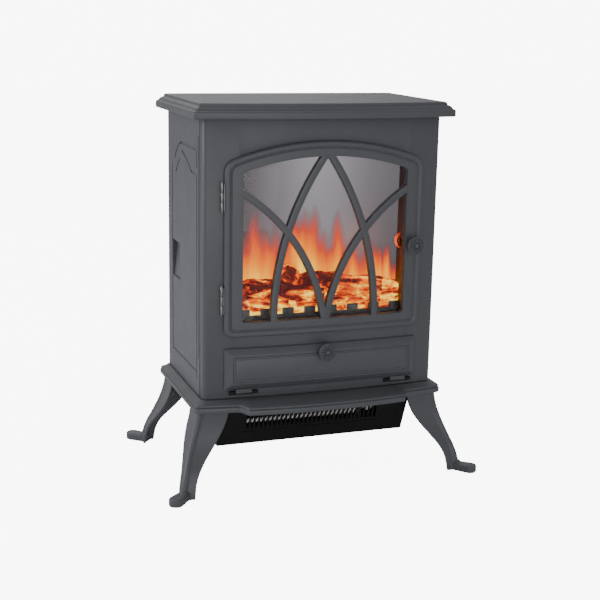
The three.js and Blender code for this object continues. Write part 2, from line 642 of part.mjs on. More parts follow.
add(
  "flame_screen",
  box(-screen.half, screen.half, screen.y, screen.y + 3, ...screen.z),
  finish(0x8a8490, 0.35),
);
const logs = [
  { x: -98, y: -64, z: 288, radius: 15, length: 84, turn: 0.2 },
  { x: -50, y: -62, z: 309, radius: 17, length: 52, turn: 0.9 },
  { x: -58, y: -66, z: 285, radius: 15, length: 110, turn: -0.18 },
  { x: 34, y: -60, z: 303, radius: 18, length: 96, turn: -0.2 },
  { x: 20, y: -68, z: 284, radius: 13, length: 120, turn: 0.12 },
  { x: 96, y: -62, z: 292, radius: 15, length: 92, turn: -0.28 },
];
const logSolid = () => {
  let bed = box(-148, 148, -84, -32, 256, 274);
  logs.forEach(({ x, y, z, radius, length, turn }) => {
    const log = new THREE.CylinderGeometry(radius * 0.85, radius, length, 7)
      .rotateZ(Math.PI / 2)
      .rotateY(-turn)
      .translate(x, y, z);
    bed = bed.add(asSolid(log));
  });
  return bed.intersect(box(-149, 149, -85, -30, 256, 345));
};
add("log_bed", logSolid(), finish(0x6b3a1c, 0.8));
const fenderSolid = () => {
  const [front, back] = [fender.y, fender.y + 3.5];
  let wall = box(-148, 148, front, back, 252, fender.baseZ);
  for (let i = 0; i < fender.merlons; i++) {
    const x = fender.leftX + i * fender.pitch;
    wall = wall.add(box(x, x + fender.width, front, back, fender.baseZ - 1, fender.topZ));
  }
  return wall;
};
add("log_fender", fenderSolid(), finish(0x55524f, 0.7));
const lightsSolid = () => {
  let board = box(-130, 130, -78, -46, 246, 247.6);
  for (let i = 0; i < 9; i++) {
    const x = -112 + i * 28;
    board = board.add(box(x - 2.5, x + 2.5, -66, -60, 247, 249.6));
  }
  return board;
};
add("led_board", lightsSolid(), finish(0xd8d8cf, 0.5));
const spinnerSolid = () => {
  let shaft = rod("x", spinner.leftX, spinner.rightX, spinner.y, spinner.z, 2.5, 12);
  for (let i = 0; i < spinner.flags; i++) {
    const x = spinner.leftX + 20 + i * 25;
    const flag = new THREE.BoxGeometry(16, 30, 1).rotateX(i * 0.9).translate(x, spinner.y, spinner.z);
    shaft = shaft.add(asSolid(flag));
  }
  return shaft;
};
add("flame_spinner", spinnerSolid(), finish(0xc9ccd0, 0.25, 0.8));
add(
  "spinner_bearing",
  box(-138, -133, spinner.y - 8, spinner.y + 8, firebox.floorZ + gap, spinner.z + 8)
    .add(rod("x", -134, -124, spinner.y, spinner.z, 6, 14))
    .subtract(rod("x", -130, -120, spinner.y, spinner.z, 2.58, 14)),
  finish(0xe6e2d6, 0.5),
);
add(
  "spinner_motor",
  rod("x", 116, 134, spinner.y, spinner.z, 24, 24)
    .add(box(134, 137, spinner.y - 10, spinner.y + 10, firebox.floorZ + gap, spinner.z + 34))
    .add(rod("x", 112 + gap, 118, spinner.y, spinner.z, 2.5, 12)),
  finish(0xb7b9bb, 0.35, 0.8),
);

// Heater under the base: tapered housing with a leaning front, slotted outlet, element, fan and motor
const heaterOutline = (z, inset) => {
  const t = (z - heater.bottomZ) / (base.bottomZ - heater.bottomZ);
  const half = heater.bottomHalf + (heater.topHalf - heater.bottomHalf) * t - inset;
  const front = heater.frontY + heater.tilt * (1 - t) + inset;
  return [
    [-half, heater.backY - inset],
    [-half, front],
    [half, front],
    [half, heater.backY - inset],
  ];
};
const heaterLoft = (z0, z1, inset) =>
  loft([
    { z: z0, points: heaterOutline(z0, inset) },
    { z: z1, points: heaterOutline(z1, inset) },
  ]);
const outletRight = outlet.leftX + (outlet.count - 1) * outlet.pitch + outlet.slotWidth;
const outletWindow = (grow) => {
  const margin = 5 + grow;
  const [z0, z1] = [outlet.bottomZ - margin, outlet.topZ + margin];
  return box(outlet.leftX - margin, outletRight + margin, -110, -60, z0, z1);
};
const inletSlots = () => {
  let cuts = box(-100, -96, heater.backY - 5, heater.backY + 5, 80, 115);
  for (let i = 1; i < 14; i++) {
    const x = -100 + i * 15;
    cuts = cuts.add(box(x, x + 4, heater.backY - 5, heater.backY + 5, 80, 115));
  }
  return cuts;
};
const housingSolid = () =>
  heaterLoft(heater.bottomZ, heater.topZ, 0)
    .subtract(heaterLoft(heater.bottomZ + heater.wall, heater.topZ - heater.wall, heater.wall))
    .subtract(outletWindow(0))
    .subtract(inletSlots());
add("heater_housing", housingSolid(), blackPaint());
const grilleSolid = () => {
  const sheet = heaterLoft(heater.bottomZ, heater.topZ, 0.1)
    .subtract(heaterLoft(heater.bottomZ - 1, heater.topZ + 1, 1))
    .intersect(outletWindow(-gap));
  let slots = sheet;
  for (let i = 0; i < outlet.count; i++) {
    const x = outlet.leftX + i * outlet.pitch;
    slots = slots.subtract(box(x, x + outlet.slotWidth, -110, -60, outlet.bottomZ, outlet.topZ));
  }
  return slots;
};
add("outlet_grille", grilleSolid(), blackPaint());

const element = { leftX: -114, rightX: 80, y: -70, bottomZ: 78, topZ: 108, ribbonZ: 91.5, zigs: 34 };
const elementFrame = () => {
  const { leftX, rightX, y, bottomZ, topZ } = element;
  const window = box(leftX, rightX, y - 5, y + 20, bottomZ + 4, topZ - 4);
  return box(leftX - 6, rightX + 6, y, y + 12, bottomZ, topZ).subtract(window);
};
add("element_frame", elementFrame(), finish(0xb9a988, 0.7));
const ribbonSolid = () => {
  const run = (element.rightX - element.leftX - 4) / element.zigs;
  const crest = Array.from({ length: element.zigs + 1 }, (_, i) => [
    element.leftX + 2 + i * run,
    element.ribbonZ + (i % 2 ? 6 : -6),
  ]);
  const band = [
    ...crest.map(([x, z]) => [x, z - 0.5]),
    ...[...crest].reverse().map(([x, z]) => [x, z + 0.5]),
  ];
  return prismY(polygon(band), element.y + 1, element.y + 9);
};
add("element_ribbon", ribbonSolid(), finish(0xc8c8c6, 0.3, 0.8));
add(
  "thermal_cutout",
  rod("y", element.y + 2, element.y + 8, element.rightX + 18, 98, 8, 16).add(
    box(element.rightX + 7, element.rightX + 29, element.y + 8, element.y + 9.5, 92, 104),
  ),
  finish(0xd9d4c6, 0.5),
);
const rotorSolid = () => {
  const disc = (x) => rod("x", x, x + 2, fan.y, fan.z, fan.radius, 16);
  const middle = (fan.leftX + fan.rightX) / 2;
  let drum = disc(fan.leftX).add(disc(middle)).add(disc(fan.rightX - 2));
  drum = drum.add(rod("x", fan.leftX - 9, fan.rightX + 14, fan.y, fan.z, 3, 10));
  for (let i = 0; i < fan.blades; i++) {
    const blade = new THREE.BoxGeometry(fan.rightX - fan.leftX - 1, 5, 0.9)
      .rotateX(0.5)
      .translate(0, fan.radius - 3, 0)
      .rotateX((i / fan.blades) * 2 * Math.PI)
      .translate(middle, fan.y, fan.z);
    drum = drum.add(asSolid(blade));
  }
  return drum;
};
add("fan_rotor", rotorSolid(), finish(0xa8abad, 0.4, 0.7));
add(
  "fan_bearing",
  box(fan.leftX - 12, fan.leftX - 6, fan.y - 9, fan.y + 9, heater.bottomZ + 1.8, fan.z + 12).subtract(
    rod("x", fan.leftX - 20, fan.leftX, fan.y, fan.z, 3.08, 14),
  ),
  finish(0xb08d4a, 0.4, 0.6),
);
add(
  "fan_motor",
  rod("x", fan.rightX + 18, fan.rightX + 44, fan.y, fan.z, 21, 20)
    .add(rod("x", fan.rightX + 14 + gap, fan.rightX + 19, fan.y, fan.z, 3, 14))
    .add(box(fan.rightX + 26, fan.rightX + 38, fan.y - 17, fan.y + 17, heater.bottomZ + 1.8, fan.z)),
  finish(0x8c8f92, 0.4, 0.7),
);
// The scroll wraps over and behind the rotor and opens towards the outlet.
const scrollSolid = () => {
  const steps = 10;
  const arc = (r) =>
    Array.from({ length: steps + 1 }, (_, i) => {
      const t = -0.35 * Math.PI + (i / steps) * 0.95 * Math.PI;
      return [fan.y + r * Math.cos(t), fan.z + r * Math.sin(t) * 1.02];
    });
  const [inner, outer] = [fan.radius + 3.4, fan.radius + 4.8];
  return prismX(polygon([...arc(outer), ...arc(inner).reverse()]), fan.leftX + 1, fan.rightX - 1);
};
add("fan_scroll", scrollSolid(), finish(0x9fa2a4, 0.4, 0.7));
add("terminal_block", box(112, 142, 8, 26, heater.bottomZ + 1.8, heater.bottomZ + 16), finish(0xe4e0d4, 0.5));

export default group;
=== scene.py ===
import math

import bmesh
import bpy
import numpy as np
from mathutils import Matrix, Vector, noise


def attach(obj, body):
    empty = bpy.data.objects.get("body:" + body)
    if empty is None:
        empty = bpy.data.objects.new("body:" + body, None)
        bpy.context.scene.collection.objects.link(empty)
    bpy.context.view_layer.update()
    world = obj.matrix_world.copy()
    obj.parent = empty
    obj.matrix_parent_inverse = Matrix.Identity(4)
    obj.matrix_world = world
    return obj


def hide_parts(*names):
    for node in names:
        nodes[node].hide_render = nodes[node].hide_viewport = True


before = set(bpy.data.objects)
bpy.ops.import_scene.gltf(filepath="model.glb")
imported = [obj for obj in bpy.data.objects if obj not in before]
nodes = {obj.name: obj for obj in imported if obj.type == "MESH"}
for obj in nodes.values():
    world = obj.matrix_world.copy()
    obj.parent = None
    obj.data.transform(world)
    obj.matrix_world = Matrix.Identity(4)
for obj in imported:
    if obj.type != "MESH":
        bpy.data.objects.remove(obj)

scene = bpy.context.scene
mm = 0.001  # every size below is in millimetres until it becomes a mesh
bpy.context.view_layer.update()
print("frame loaded:", len(nodes), "nodes")

# camera and studio
cameraView = {
    "place": (-0.6473, -1.8072, 0.7144), "azimuth": -19.76, "elevation": 13.18, "roll": 1.11, "lens": 72.8
}
studio = {
    "world": (0.96, 0.97, 1.0), "worldStrength": 0.52, "backdrop": 9.0,
    "keyPlace": (-3.4, 0.5, 1.5), "keySize": 1.6, "keyPower": 66,
    "topPlace": (0.2, 2.4, 2.7), "topSize": 2.2, "topPower": 30,
    "frontPlace": (-0.3, -3.6, 0.42), "frontSize": 1.8, "frontPower": 46,
    "floor": (0.80, 0.80, 0.81), "floorGlow": 8.0,
}


def placeCamera(view):
    azimuth, elevation, roll = (math.radians(view[key]) for key in ("azimuth", "elevation", "roll"))
    back = Vector(
        (
            math.sin(azimuth) * math.cos(elevation), -math.cos(azimuth) * math.cos(elevation),
            math.sin(elevation),
        )
    )
    right = Vector((math.cos(azimuth), math.sin(azimuth), 0))
    up = back.cross(right)
    across = right * math.cos(roll) + up * math.sin(roll)
    upright = up * math.cos(roll) - right * math.sin(roll)
    data = bpy.data.cameras.new("camera")
    data.lens = view["lens"]
    camera = bpy.data.objects.new("camera", data)
    scene.collection.objects.link(camera)
    axes = Matrix((across, upright, back)).transposed().to_4x4()
    camera.matrix_world = Matrix.Translation(view["place"]) @ axes
    scene.camera = camera


def softLight(name, place, target, size, power):
    data = bpy.data.lights.new(name, "AREA")
    data.size = size
    data.energy = power
    light = bpy.data.objects.new(name, data)
    aim = (Vector(place) - Vector(target)).to_track_quat("Z", "Y")
    light.matrix_world = Matrix.Translation(place) @ aim.to_matrix().to_4x4()
    scene.collection.objects.link(light)
    return light


placeCamera(cameraView)
middle = (0, 0, 0.3)
softLight("keyLight", studio["keyPlace"], middle, studio["keySize"], studio["keyPower"])
softLight("topLight", studio["topPlace"], middle, studio["topSize"], studio["topPower"])
softLight("frontLight", studio["frontPlace"], middle, studio["frontSize"], studio["frontPower"])
scene.world = bpy.data.worlds.new("studio")
scene.world.use_nodes = True
worldTree = scene.world.node_tree
background = worldTree.nodes["Background"]
background.inputs["Color"].default_value = (*studio["world"], 1)


# shader helpers
def socketOf(node, name, output=False):
    return next(s for s in (node.outputs if output else node.inputs) if s.name == name and s.enabled)


def shaderNode(tree, kind, inputs=None, **settings):
    node = tree.nodes.new(kind)
    for key, value in settings.items():
        setattr(node, key, value)
    for key, value in (inputs or {}).items():
        socket = node.inputs[key] if isinstance(key, int) else socketOf(node, key)
        if isinstance(value, bpy.types.NodeSocket):
            tree.links.new(value, socket)
        else:
            socket.default_value = value
    return node


def nodeOut(tree, kind, inputs=None, **settings):
    return shaderNode(tree, kind, inputs, **settings).outputs[0]


def ramp(tree, factor, stops):
    node = shaderNode(tree, "ShaderNodeValToRGB", {"Fac": factor})
    elements = node.color_ramp.elements
    while len(elements) < len(stops):
        elements.new(0.5)
    for element, (position, colour) in zip(elements, stops):
        element.position = position
        element.color = (*colour, 1) if isinstance(colour, tuple) else (colour, colour, colour, 1)
    return node.outputs["Color"]


def maths(tree, operation, a, b=0.0, clamp=False):
    return nodeOut(tree, "ShaderNodeMath", {0: a, 1: b}, operation=operation, use_clamp=clamp)


def blendColours(tree, factor, a, b):
    node = shaderNode(tree, "ShaderNodeMix", data_type="RGBA")
    for name, value in (("Factor", factor), ("A", a), ("B", b)):
        socket = socketOf(node, name)
        if isinstance(value, bpy.types.NodeSocket):
            tree.links.new(value, socket)
        else:
            socket.default_value = (*value, 1) if isinstance(value, tuple) else value
    return socketOf(node, "Result", output=True)


def noiseOf(tree, place, scale, detail=3.0, roughness=0.5, distortion=0.0):
    inputs = {
        "Vector": place, "Scale": scale, "Detail": detail, "Roughness": roughness, "Distortion": distortion
    }
    return shaderNode(tree, "ShaderNodeTexNoise", inputs).outputs["Fac"]


def newGroup(name, inputs, outputs):
    tree = bpy.data.node_groups.new(name, "ShaderNodeTree")
    for label, kind, value in inputs:
        socket = tree.interface.new_socket(name=label, in_out="INPUT", socket_type="NodeSocket" + kind)
        socket.default_value = (*value, 1) if kind == "Color" else value
    for label, kind in outputs:
        tree.interface.new_socket(name=label, in_out="OUTPUT", socket_type="NodeSocket" + kind)
    start = tree.nodes.new("NodeGroupInput")
    end = tree.nodes.new("NodeGroupOutput")
    place = shaderNode(tree, "ShaderNodeTexCoord").outputs["Object"]
    return tree, start.outputs, end.inputs, place


# colour drift, fine pebble and dust of a baked coat
def coatGroup():
    tree, given, out, place = newGroup(
        "coatSurface",
        [
            ("Colour", "Color", (0.1, 0.1, 0.1)), ("Light Colour", "Color", (0.13, 0.13, 0.13)),
            ("Drift", "Float", 0.5), ("Dust", "Float", 0.1), ("Roughness", "Float", 0.5),
            ("Pebble", "Float", 0.5),
        ],
        [("Colour", "Color"), ("Roughness", "Float"), ("Height", "Float")],
    )
    broad = noiseOf(tree, place, 9.0, 4.0, 0.55)
    patch = maths(
        tree, "MULTIPLY", maths(tree, "SUBTRACT", broad, 0.42, clamp=True), given["Drift"], clamp=True
    )
    colour = blendColours(
        tree, maths(tree, "MULTIPLY", patch, 4.0, clamp=True), given["Colour"], given["Light Colour"]
    )
    facing = shaderNode(tree, "ShaderNodeNewGeometry").outputs["Normal"]
    upward = shaderNode(tree, "ShaderNodeSeparateXYZ", {"Vector": facing}).outputs["Z"]
    settled = maths(tree, "POWER", maths(tree, "MAXIMUM", upward, 0.0), 3.0)
    speck = noiseOf(tree, place, 160.0, 5.0, 0.65)
    dust = maths(tree, "MULTIPLY", maths(tree, "MULTIPLY", settled, speck), given["Dust"], clamp=True)
    colour = blendColours(tree, dust, colour, (0.30, 0.29, 0.275))
    fine = noiseOf(tree, place, 1500.0, 2.0, 0.5)
    wave = noiseOf(tree, place, 260.0, 2.0, 0.5)
    tree.links.new(colour, out["Colour"])
    smear = noiseOf(tree, place, 22.0, 5.0, 0.6)
    rough = maths(
        tree, "ADD", given["Roughness"], maths(tree, "MULTIPLY", maths(tree, "SUBTRACT", smear, 0.5), 0.16)
    )
    tree.links.new(
        maths(tree, "ADD", rough, maths(tree, "MULTIPLY", dust, 0.5), clamp=True), out["Roughness"]
    )
    height = maths(tree, "ADD", maths(tree, "MULTIPLY", fine, 0.45), maths(tree, "MULTIPLY", wave, 0.9))
    tree.links.new(maths(tree, "MULTIPLY", height, given["Pebble"]), out["Height"])
    return tree


# painted edge highlight: a mask of the edges, broken up by noise
def edgeHighlightGroup():
    tree, given, out, place = newGroup(
        "paintedEdgeHighlight", [("Width", "Float", 0.0012), ("Amount", "Float", 0.5)], [("Mask", "Float")]
    )
    rounded = shaderNode(tree, "ShaderNodeBevel", {"Radius": given["Width"]}, samples=4).outputs["Normal"]
    plain = shaderNode(tree, "ShaderNodeNewGeometry").outputs["Normal"]
    across = shaderNode(
        tree, "ShaderNodeVectorMath", {0: rounded, 1: plain}, operation="DOT_PRODUCT"
    ).outputs["Value"]
    turned = maths(tree, "MULTIPLY", maths(tree, "SUBTRACT", 1.0, across), 5.0, clamp=True)
    broken = maths(tree, "SUBTRACT", noiseOf(tree, place, 70.0, 5.0, 0.65), 0.38, clamp=True)
    mask = maths(
        tree, "MULTIPLY", maths(tree, "MULTIPLY", turned, broken),
        maths(tree, "MULTIPLY", given["Amount"], 3.0),
    )
    tree.links.new(maths(tree, "MINIMUM", mask, 1.0), out["Mask"])
    return tree


# fine lines drawn along one axis, for rolled and turned metal
def brushGroup():
    tree, given, out, place = newGroup(
        "drawnMetal", [("Stretch", "Vector", (1, 1, 1)), ("Scale", "Float", 300.0)], [("Lines", "Float")]
    )
    stretched = nodeOut(tree, "ShaderNodeVectorMath", {0: place, 1: given["Stretch"]}, operation="MULTIPLY")
    lines = shaderNode(
        tree, "ShaderNodeTexNoise", {"Vector": stretched, "Scale": given["Scale"], "Detail": 4.0}
    )
    tree.links.new(lines.outputs["Fac"], out["Lines"])
    return tree


seen = shaderNode(worldTree, "ShaderNodeLightPath").outputs["Is Camera Ray"]
lit = maths(worldTree, "MULTIPLY_ADD", seen, studio["backdrop"] - studio["worldStrength"])
lit.node.inputs[2].default_value = studio["worldStrength"]
worldTree.links.new(lit, background.inputs["Strength"])

coatSurface = coatGroup()
paintedEdgeHighlight = edgeHighlightGroup()
drawnMetal = brushGroup()
materials = {}


def newMaterial(name):
    material = bpy.data.materials.new(name)
    material.use_nodes = True
    tree = material.node_tree
    shader = tree.nodes["Principled BSDF"]
    materials[name] = material
    return tree, shader


def groupNode(tree, group, inputs):
    node = tree.nodes.new("ShaderNodeGroup")
    node.node_tree = group
    for key, value in inputs.items():
        socket = node.inputs[key]
        if isinstance(value, bpy.types.NodeSocket):
            tree.links.new(value, socket)
        else:
            socket.default_value = (*value, 1) if socket.type == "RGBA" else value
    return node.outputs


coats = {
    "stove_paint": {
        "colour": (0.066, 0.0695, 0.0775), "light": (0.075, 0.079, 0.087), "drift": 0.5, "dust": 0.10,
        "rough": 0.47, "pebble": 0.55, "bump": 0.10, "edgeHighlight": 0.10, "highlightColour": (0.22, 0.22, 0.22), "level": 0.45,
    },
    "back_sheet": {
        "colour": (0.030, 0.031, 0.033), "light": (0.040, 0.041, 0.043), "drift": 0.6, "dust": 0.2,
        "rough": 0.5, "pebble": 0.5, "bump": 0.12, "edgeHighlight": 0.3, "highlightColour": (0.35, 0.35, 0.35), "level": 0.5,
    },
    "black_paint": {
        "colour": (0.0042, 0.0040, 0.0042), "light": (0.006, 0.006, 0.0065), "drift": 0.6, "dust": 0.03,
        "rough": 0.5, "pebble": 0.6, "bump": 0.12, "edgeHighlight": 0.08, "highlightColour": (0.08, 0.08, 0.08), "level": 0.22,
    },
    "black_plastic": {
        "colour": (0.010, 0.010, 0.011), "light": (0.015, 0.015, 0.016), "drift": 0.4, "dust": 0.05,
        "rough": 0.42, "pebble": 1.0, "bump": 0.16, "edgeHighlight": 0.10, "highlightColour": (0.06, 0.06, 0.06), "level": 0.5,
    },
    "red_plastic": {
        "colour": (0.34, 0.016, 0.010), "light": (0.42, 0.025, 0.015), "drift": 0.4, "dust": 0.04,
        "rough": 0.28, "pebble": 0.3, "bump": 0.06, "edgeHighlight": 0.1, "highlightColour": (0.5, 0.1, 0.08), "level": 0.5,
    },
    "cream_plastic": {
        "colour": (0.62, 0.58, 0.47), "light": (0.70, 0.66, 0.55), "drift": 0.6, "dust": 0.1, "rough": 0.45,
        "pebble": 0.6, "bump": 0.1, "edgeHighlight": 0.2, "highlightColour": (0.8, 0.78, 0.7), "level": 0.5,
    },
    "firebox_black": {
        "colour": (0.016, 0.014, 0.013), "light": (0.024, 0.020, 0.018), "drift": 0.7, "dust": 0.05,
        "rough": 0.42, "pebble": 0.8, "bump": 0.12, "edgeHighlight": 0.15, "highlightColour": (0.2, 0.16, 0.12), "level": 0.4,
    },
    # painted reflection: the door magnet's metal is coloured orange in place of the fire's glow it reflects
    "knob_backing": {
        "colour": (0.40, 0.085, 0.012), "light": (0.46, 0.11, 0.02), "drift": 0.7, "dust": 0.0,
        "rough": 0.5, "pebble": 0.8, "bump": 0.1, "edgeHighlight": 0.2, "highlightColour": (0.6, 0.5, 0.4), "level": 0.4,
    },
    "fender_stone": {
        "colour": (0.120, 0.120, 0.125), "light": (0.15, 0.15, 0.155), "drift": 0.8, "dust": 0.05,
        "rough": 0.6, "pebble": 1.3, "bump": 0.22, "edgeHighlight": 0.3, "highlightColour": (0.16, 0.15, 0.14), "level": 0.3,
    },
    "mica": {
        "colour": (0.030, 0.024, 0.018), "light": (0.060, 0.048, 0.034), "drift": 1.0, "dust": 0.0,
        "rough": 0.5, "pebble": 1.2, "bump": 0.2, "edgeHighlight": 0.3, "highlightColour": (0.12, 0.10, 0.07), "level": 0.4,
    },
}
for name, look in coats.items():
    tree, shader = newMaterial(name)
    coat = groupNode(
        tree, coatSurface,
        {
            "Colour": look["colour"], "Light Colour": look["light"], "Drift": look["drift"],
            "Dust": look["dust"], "Roughness": look["rough"], "Pebble": look["pebble"],
        },
    )
    # painted highlight: edges are lightened towards the highlight colour
    edgeHighlight = groupNode(tree, paintedEdgeHighlight, {"Width": 0.0011, "Amount": look["edgeHighlight"]})["Mask"]
    tree.links.new(blendColours(tree, edgeHighlight, coat["Colour"], look["highlightColour"]), shader.inputs["Base Color"])
    tree.links.new(coat["Roughness"], shader.inputs["Roughness"])
    bump = shaderNode(
        tree, "ShaderNodeBump", {"Height": coat["Height"], "Strength": look["bump"], "Distance": 0.0006}
    )
    tree.links.new(bump.outputs["Normal"], shader.inputs["Normal"])
    shader.inputs["Specular IOR Level"].default_value = look["level"]

metals = {
    "bright_steel": {
        "colour": (0.30, 0.305, 0.31), "dull": (0.17, 0.17, 0.175), "rough": 0.4, "stretch": (8, 8, 1)
    },
    "foil_steel": {
        "colour": (0.62, 0.63, 0.64), "dull": (0.45, 0.45, 0.46), "rough": 0.22, "stretch": (1, 6, 6)
    },
    "heating_alloy": {
        "colour": (0.86, 0.85, 0.82), "dull": (0.66, 0.63, 0.58), "rough": 0.34, "stretch": (1, 1, 8)
    },
    "fan_aluminium": {
        "colour": (0.50, 0.51, 0.52), "dull": (0.36, 0.37, 0.38), "rough": 0.4, "stretch": (1, 6, 6)
    },
    "bearing_bronze": {
        "colour": (0.45, 0.30, 0.13), "dull": (0.30, 0.20, 0.10), "rough": 0.38, "stretch": (6, 1, 1)
    },
}
for name, look in metals.items():
    tree, shader = newMaterial(name)
    lines = groupNode(tree, drawnMetal, {"Stretch": look["stretch"], "Scale": 260.0})["Lines"]
    tree.links.new(blendColours(tree, lines, look["colour"], look["dull"]), shader.inputs["Base Color"])
    rough = maths(tree, "ADD", look["rough"] - 0.08, maths(tree, "MULTIPLY", lines, 0.2))
    tree.links.new(rough, shader.inputs["Roughness"])
    bump = shaderNode(tree, "ShaderNodeBump", {"Height": lines, "Strength": 0.12, "Distance": 0.0003})
    tree.links.new(bump.outputs["Normal"], shader.inputs["Normal"])
    shader.inputs["Metallic"].default_value = 1.0

glassLook = {"rough": 0.0, "ior": 1.16, "tint": (0.95, 0.955, 0.96), "smear": 0.012}
tree, shader = newMaterial("door_glass")
place = shaderNode(tree, "ShaderNodeTexCoord").outputs["Object"]
smear = noiseOf(tree, place, 14.0, 5.0, 0.6)
tree.links.new(
    maths(tree, "ADD", glassLook["rough"], maths(tree, "MULTIPLY", smear, glassLook["smear"])),
    shader.inputs["Roughness"],
)
tree.links.new(
    blendColours(tree, smear, glassLook["tint"], (0.97, 0.97, 0.97)), shader.inputs["Base Color"]
)
shader.inputs["Transmission Weight"].default_value = 1.0
shader.inputs["IOR"].default_value = glassLook["ior"]

boardLook = {
    "mask": (0.05, 0.16, 0.07), "copper": (0.45, 0.28, 0.10), "lamp": (1.0, 0.45, 0.08), "strength": 2.0
}
tree, shader = newMaterial("circuit_board")
place = shaderNode(tree, "ShaderNodeTexCoord").outputs["Object"]
tracks = shaderNode(
    tree, "ShaderNodeTexBrick", {"Vector": place, "Scale": 60.0, "Mortar Size": 0.03}
).outputs["Fac"]
high = shaderNode(tree, "ShaderNodeSeparateXYZ", {"Vector": place}).outputs["Z"]
lamp = maths(tree, "GREATER_THAN", high, 0.2478)
tree.links.new(
    blendColours(
        tree, lamp, blendColours(tree, tracks, boardLook["mask"], boardLook["copper"]), (0.9, 0.85, 0.7)
    ),
    shader.inputs["Base Color"],
)
tree.links.new(
    blendColours(tree, lamp, (0.0, 0.0, 0.0), boardLook["lamp"]), shader.inputs["Emission Color"]
)
shader.inputs["Emission Strength"].default_value = boardLook["strength"]
shader.inputs["Roughness"].default_value = 0.4

# flames on the screen over a painted reflection: the mesh carries how hot each point is and how much grey
# sheen is painted there, in place of the studio mirrored in the screen
filmLook = {"strength": 1.0, "paintedSheen": (0.44, 0.42, 0.455), "shade": (0.05, 0.044, 0.048)}
tree, shader = newMaterial("flame_film")
heat = shaderNode(tree, "ShaderNodeAttribute", attribute_name="fireHeat").outputs["Fac"]
paintedSheen = shaderNode(tree, "ShaderNodeAttribute", attribute_name="paintedSheen").outputs["Fac"]
place = shaderNode(tree, "ShaderNodeTexCoord").outputs["Object"]
rippled = shaderNode(
    tree, "ShaderNodeMapping", {"Vector": place, "Scale": (1.0, 1.0, 0.16)}
).outputs["Vector"]
streak = noiseOf(tree, rippled, 120.0, 2.0, 0.5)
lively = maths(tree, "MULTIPLY", heat, maths(tree, "ADD", 0.72, maths(tree, "MULTIPLY", streak, 0.56)))
flame = ramp(
    tree, lively,
    [
        (0.0, (0.03, 0.010, 0.012)), (0.12, (0.42, 0.045, 0.045)), (0.28, (0.86, 0.075, 0.030)),
        (0.45, (1.32, 0.25, 0.006)), (0.62, (1.60, 0.48, 0.01)), (0.82, (1.90, 0.88, 0.03)),
        (1.0, (2.3, 1.40, 0.13)),
    ],
)
# painted reflection: grey emission, from the dim shade colour up to the sheen colour, stands in for the
# studio mirrored in the screen
sheenColour = blendColours(tree, paintedSheen, filmLook["shade"], filmLook["paintedSheen"])
cover = maths(tree, "MULTIPLY", lively, 3.6, clamp=True)
tree.links.new(blendColours(tree, cover, sheenColour, flame), shader.inputs["Emission Color"])
shader.inputs["Emission Strength"].default_value = filmLook["strength"]
speck = noiseOf(tree, place, 700.0, 2.0, 0.5)
tree.links.new(
    blendColours(tree, speck, (0.008, 0.008, 0.009), (0.012, 0.012, 0.013)), shader.inputs["Base Color"]
)
tree.links.new(maths(tree, "ADD", 0.45, maths(tree, "MULTIPLY", speck, 0.1)), shader.inputs["Roughness"])
shader.inputs["Specular IOR Level"].default_value = 0.12
bump = shaderNode(tree, "ShaderNodeBump", {"Height": speck, "Strength": 0.02, "Distance": 0.0002})
tree.links.new(bump.outputs["Normal"], shader.inputs["Normal"])

# glowing resin logs: bark where it is cool, red to yellow where the light comes through
emberLook = {"strength": 1.0, "bark": (0.022, 0.009, 0.007), "warmBark": (0.06, 0.018, 0.009)}
tree, shader = newMaterial("ember_resin")
place = shaderNode(tree, "ShaderNodeTexCoord").outputs["Object"]
glow = shaderNode(tree, "ShaderNodeAttribute", attribute_name="glow").outputs["Fac"]
drawn = shaderNode(
    tree, "ShaderNodeMapping", {"Vector": place, "Scale": (0.42, 1.0, 1.15)}
).outputs["Vector"]
patches = noiseOf(tree, drawn, 46.0, 2.5, 0.5, 1.1)
cracks = noiseOf(tree, drawn, 38.0, 2.0, 0.5, 2.2)
crackLine = maths(
    tree, "SUBTRACT", 1.0,
    maths(tree, "MULTIPLY", maths(tree, "ABSOLUTE", maths(tree, "SUBTRACT", cracks, 0.5)), 15.0),
    clamp=True,
)
warmth = maths(tree, "MULTIPLY", maths(tree, "SUBTRACT", patches, 0.40), 3.6)
warmth = maths(tree, "ADD", warmth, maths(tree, "MULTIPLY", crackLine, 0.34))
warmth = maths(
    tree, "ADD", warmth, maths(tree, "MULTIPLY", maths(tree, "SUBTRACT", glow, 0.44), 0.9), clamp=True
)
ember = ramp(
    tree, warmth,
    [
        (0.0, (0.075, 0.011, 0.011)), (0.16, (0.24, 0.018, 0.014)), (0.32, (0.68, 0.042, 0.010)),
        (0.48, (1.05, 0.12, 0.0)), (0.66, (1.35, 0.31, 0.0)), (0.84, (1.65, 0.66, 0.01)),
        (1.0, (2.0, 1.25, 0.12)),
    ],
)
tree.links.new(ember, shader.inputs["Emission Color"])
shader.inputs["Emission Strength"].default_value = emberLook["strength"]
shader.inputs["Specular IOR Level"].default_value = 0.2
tree.links.new(
    blendColours(tree, patches, emberLook["bark"], emberLook["warmBark"]), shader.inputs["Base Color"]
)
tree.links.new(maths(tree, "ADD", 0.5, maths(tree, "MULTIPLY", cracks, 0.3)), shader.inputs["Roughness"])
relief = maths(tree, "SUBTRACT", patches, maths(tree, "MULTIPLY", crackLine, 0.4))
bump = shaderNode(tree, "ShaderNodeBump", {"Height": relief, "Strength": 0.6, "Distance": 0.003})
tree.links.new(bump.outputs["Normal"], shader.inputs["Normal"])
print("materials ready:", len(materials))


# mesh helpers
def makeObject(name, verts, faces):
    mesh = bpy.data.meshes.new(name)
    mesh.from_pydata([(x * mm, y * mm, z * mm) for x, y, z in verts], [], faces)
    obj = bpy.data.objects.new(name, mesh)
    scene.collection.objects.link(obj)
    return obj


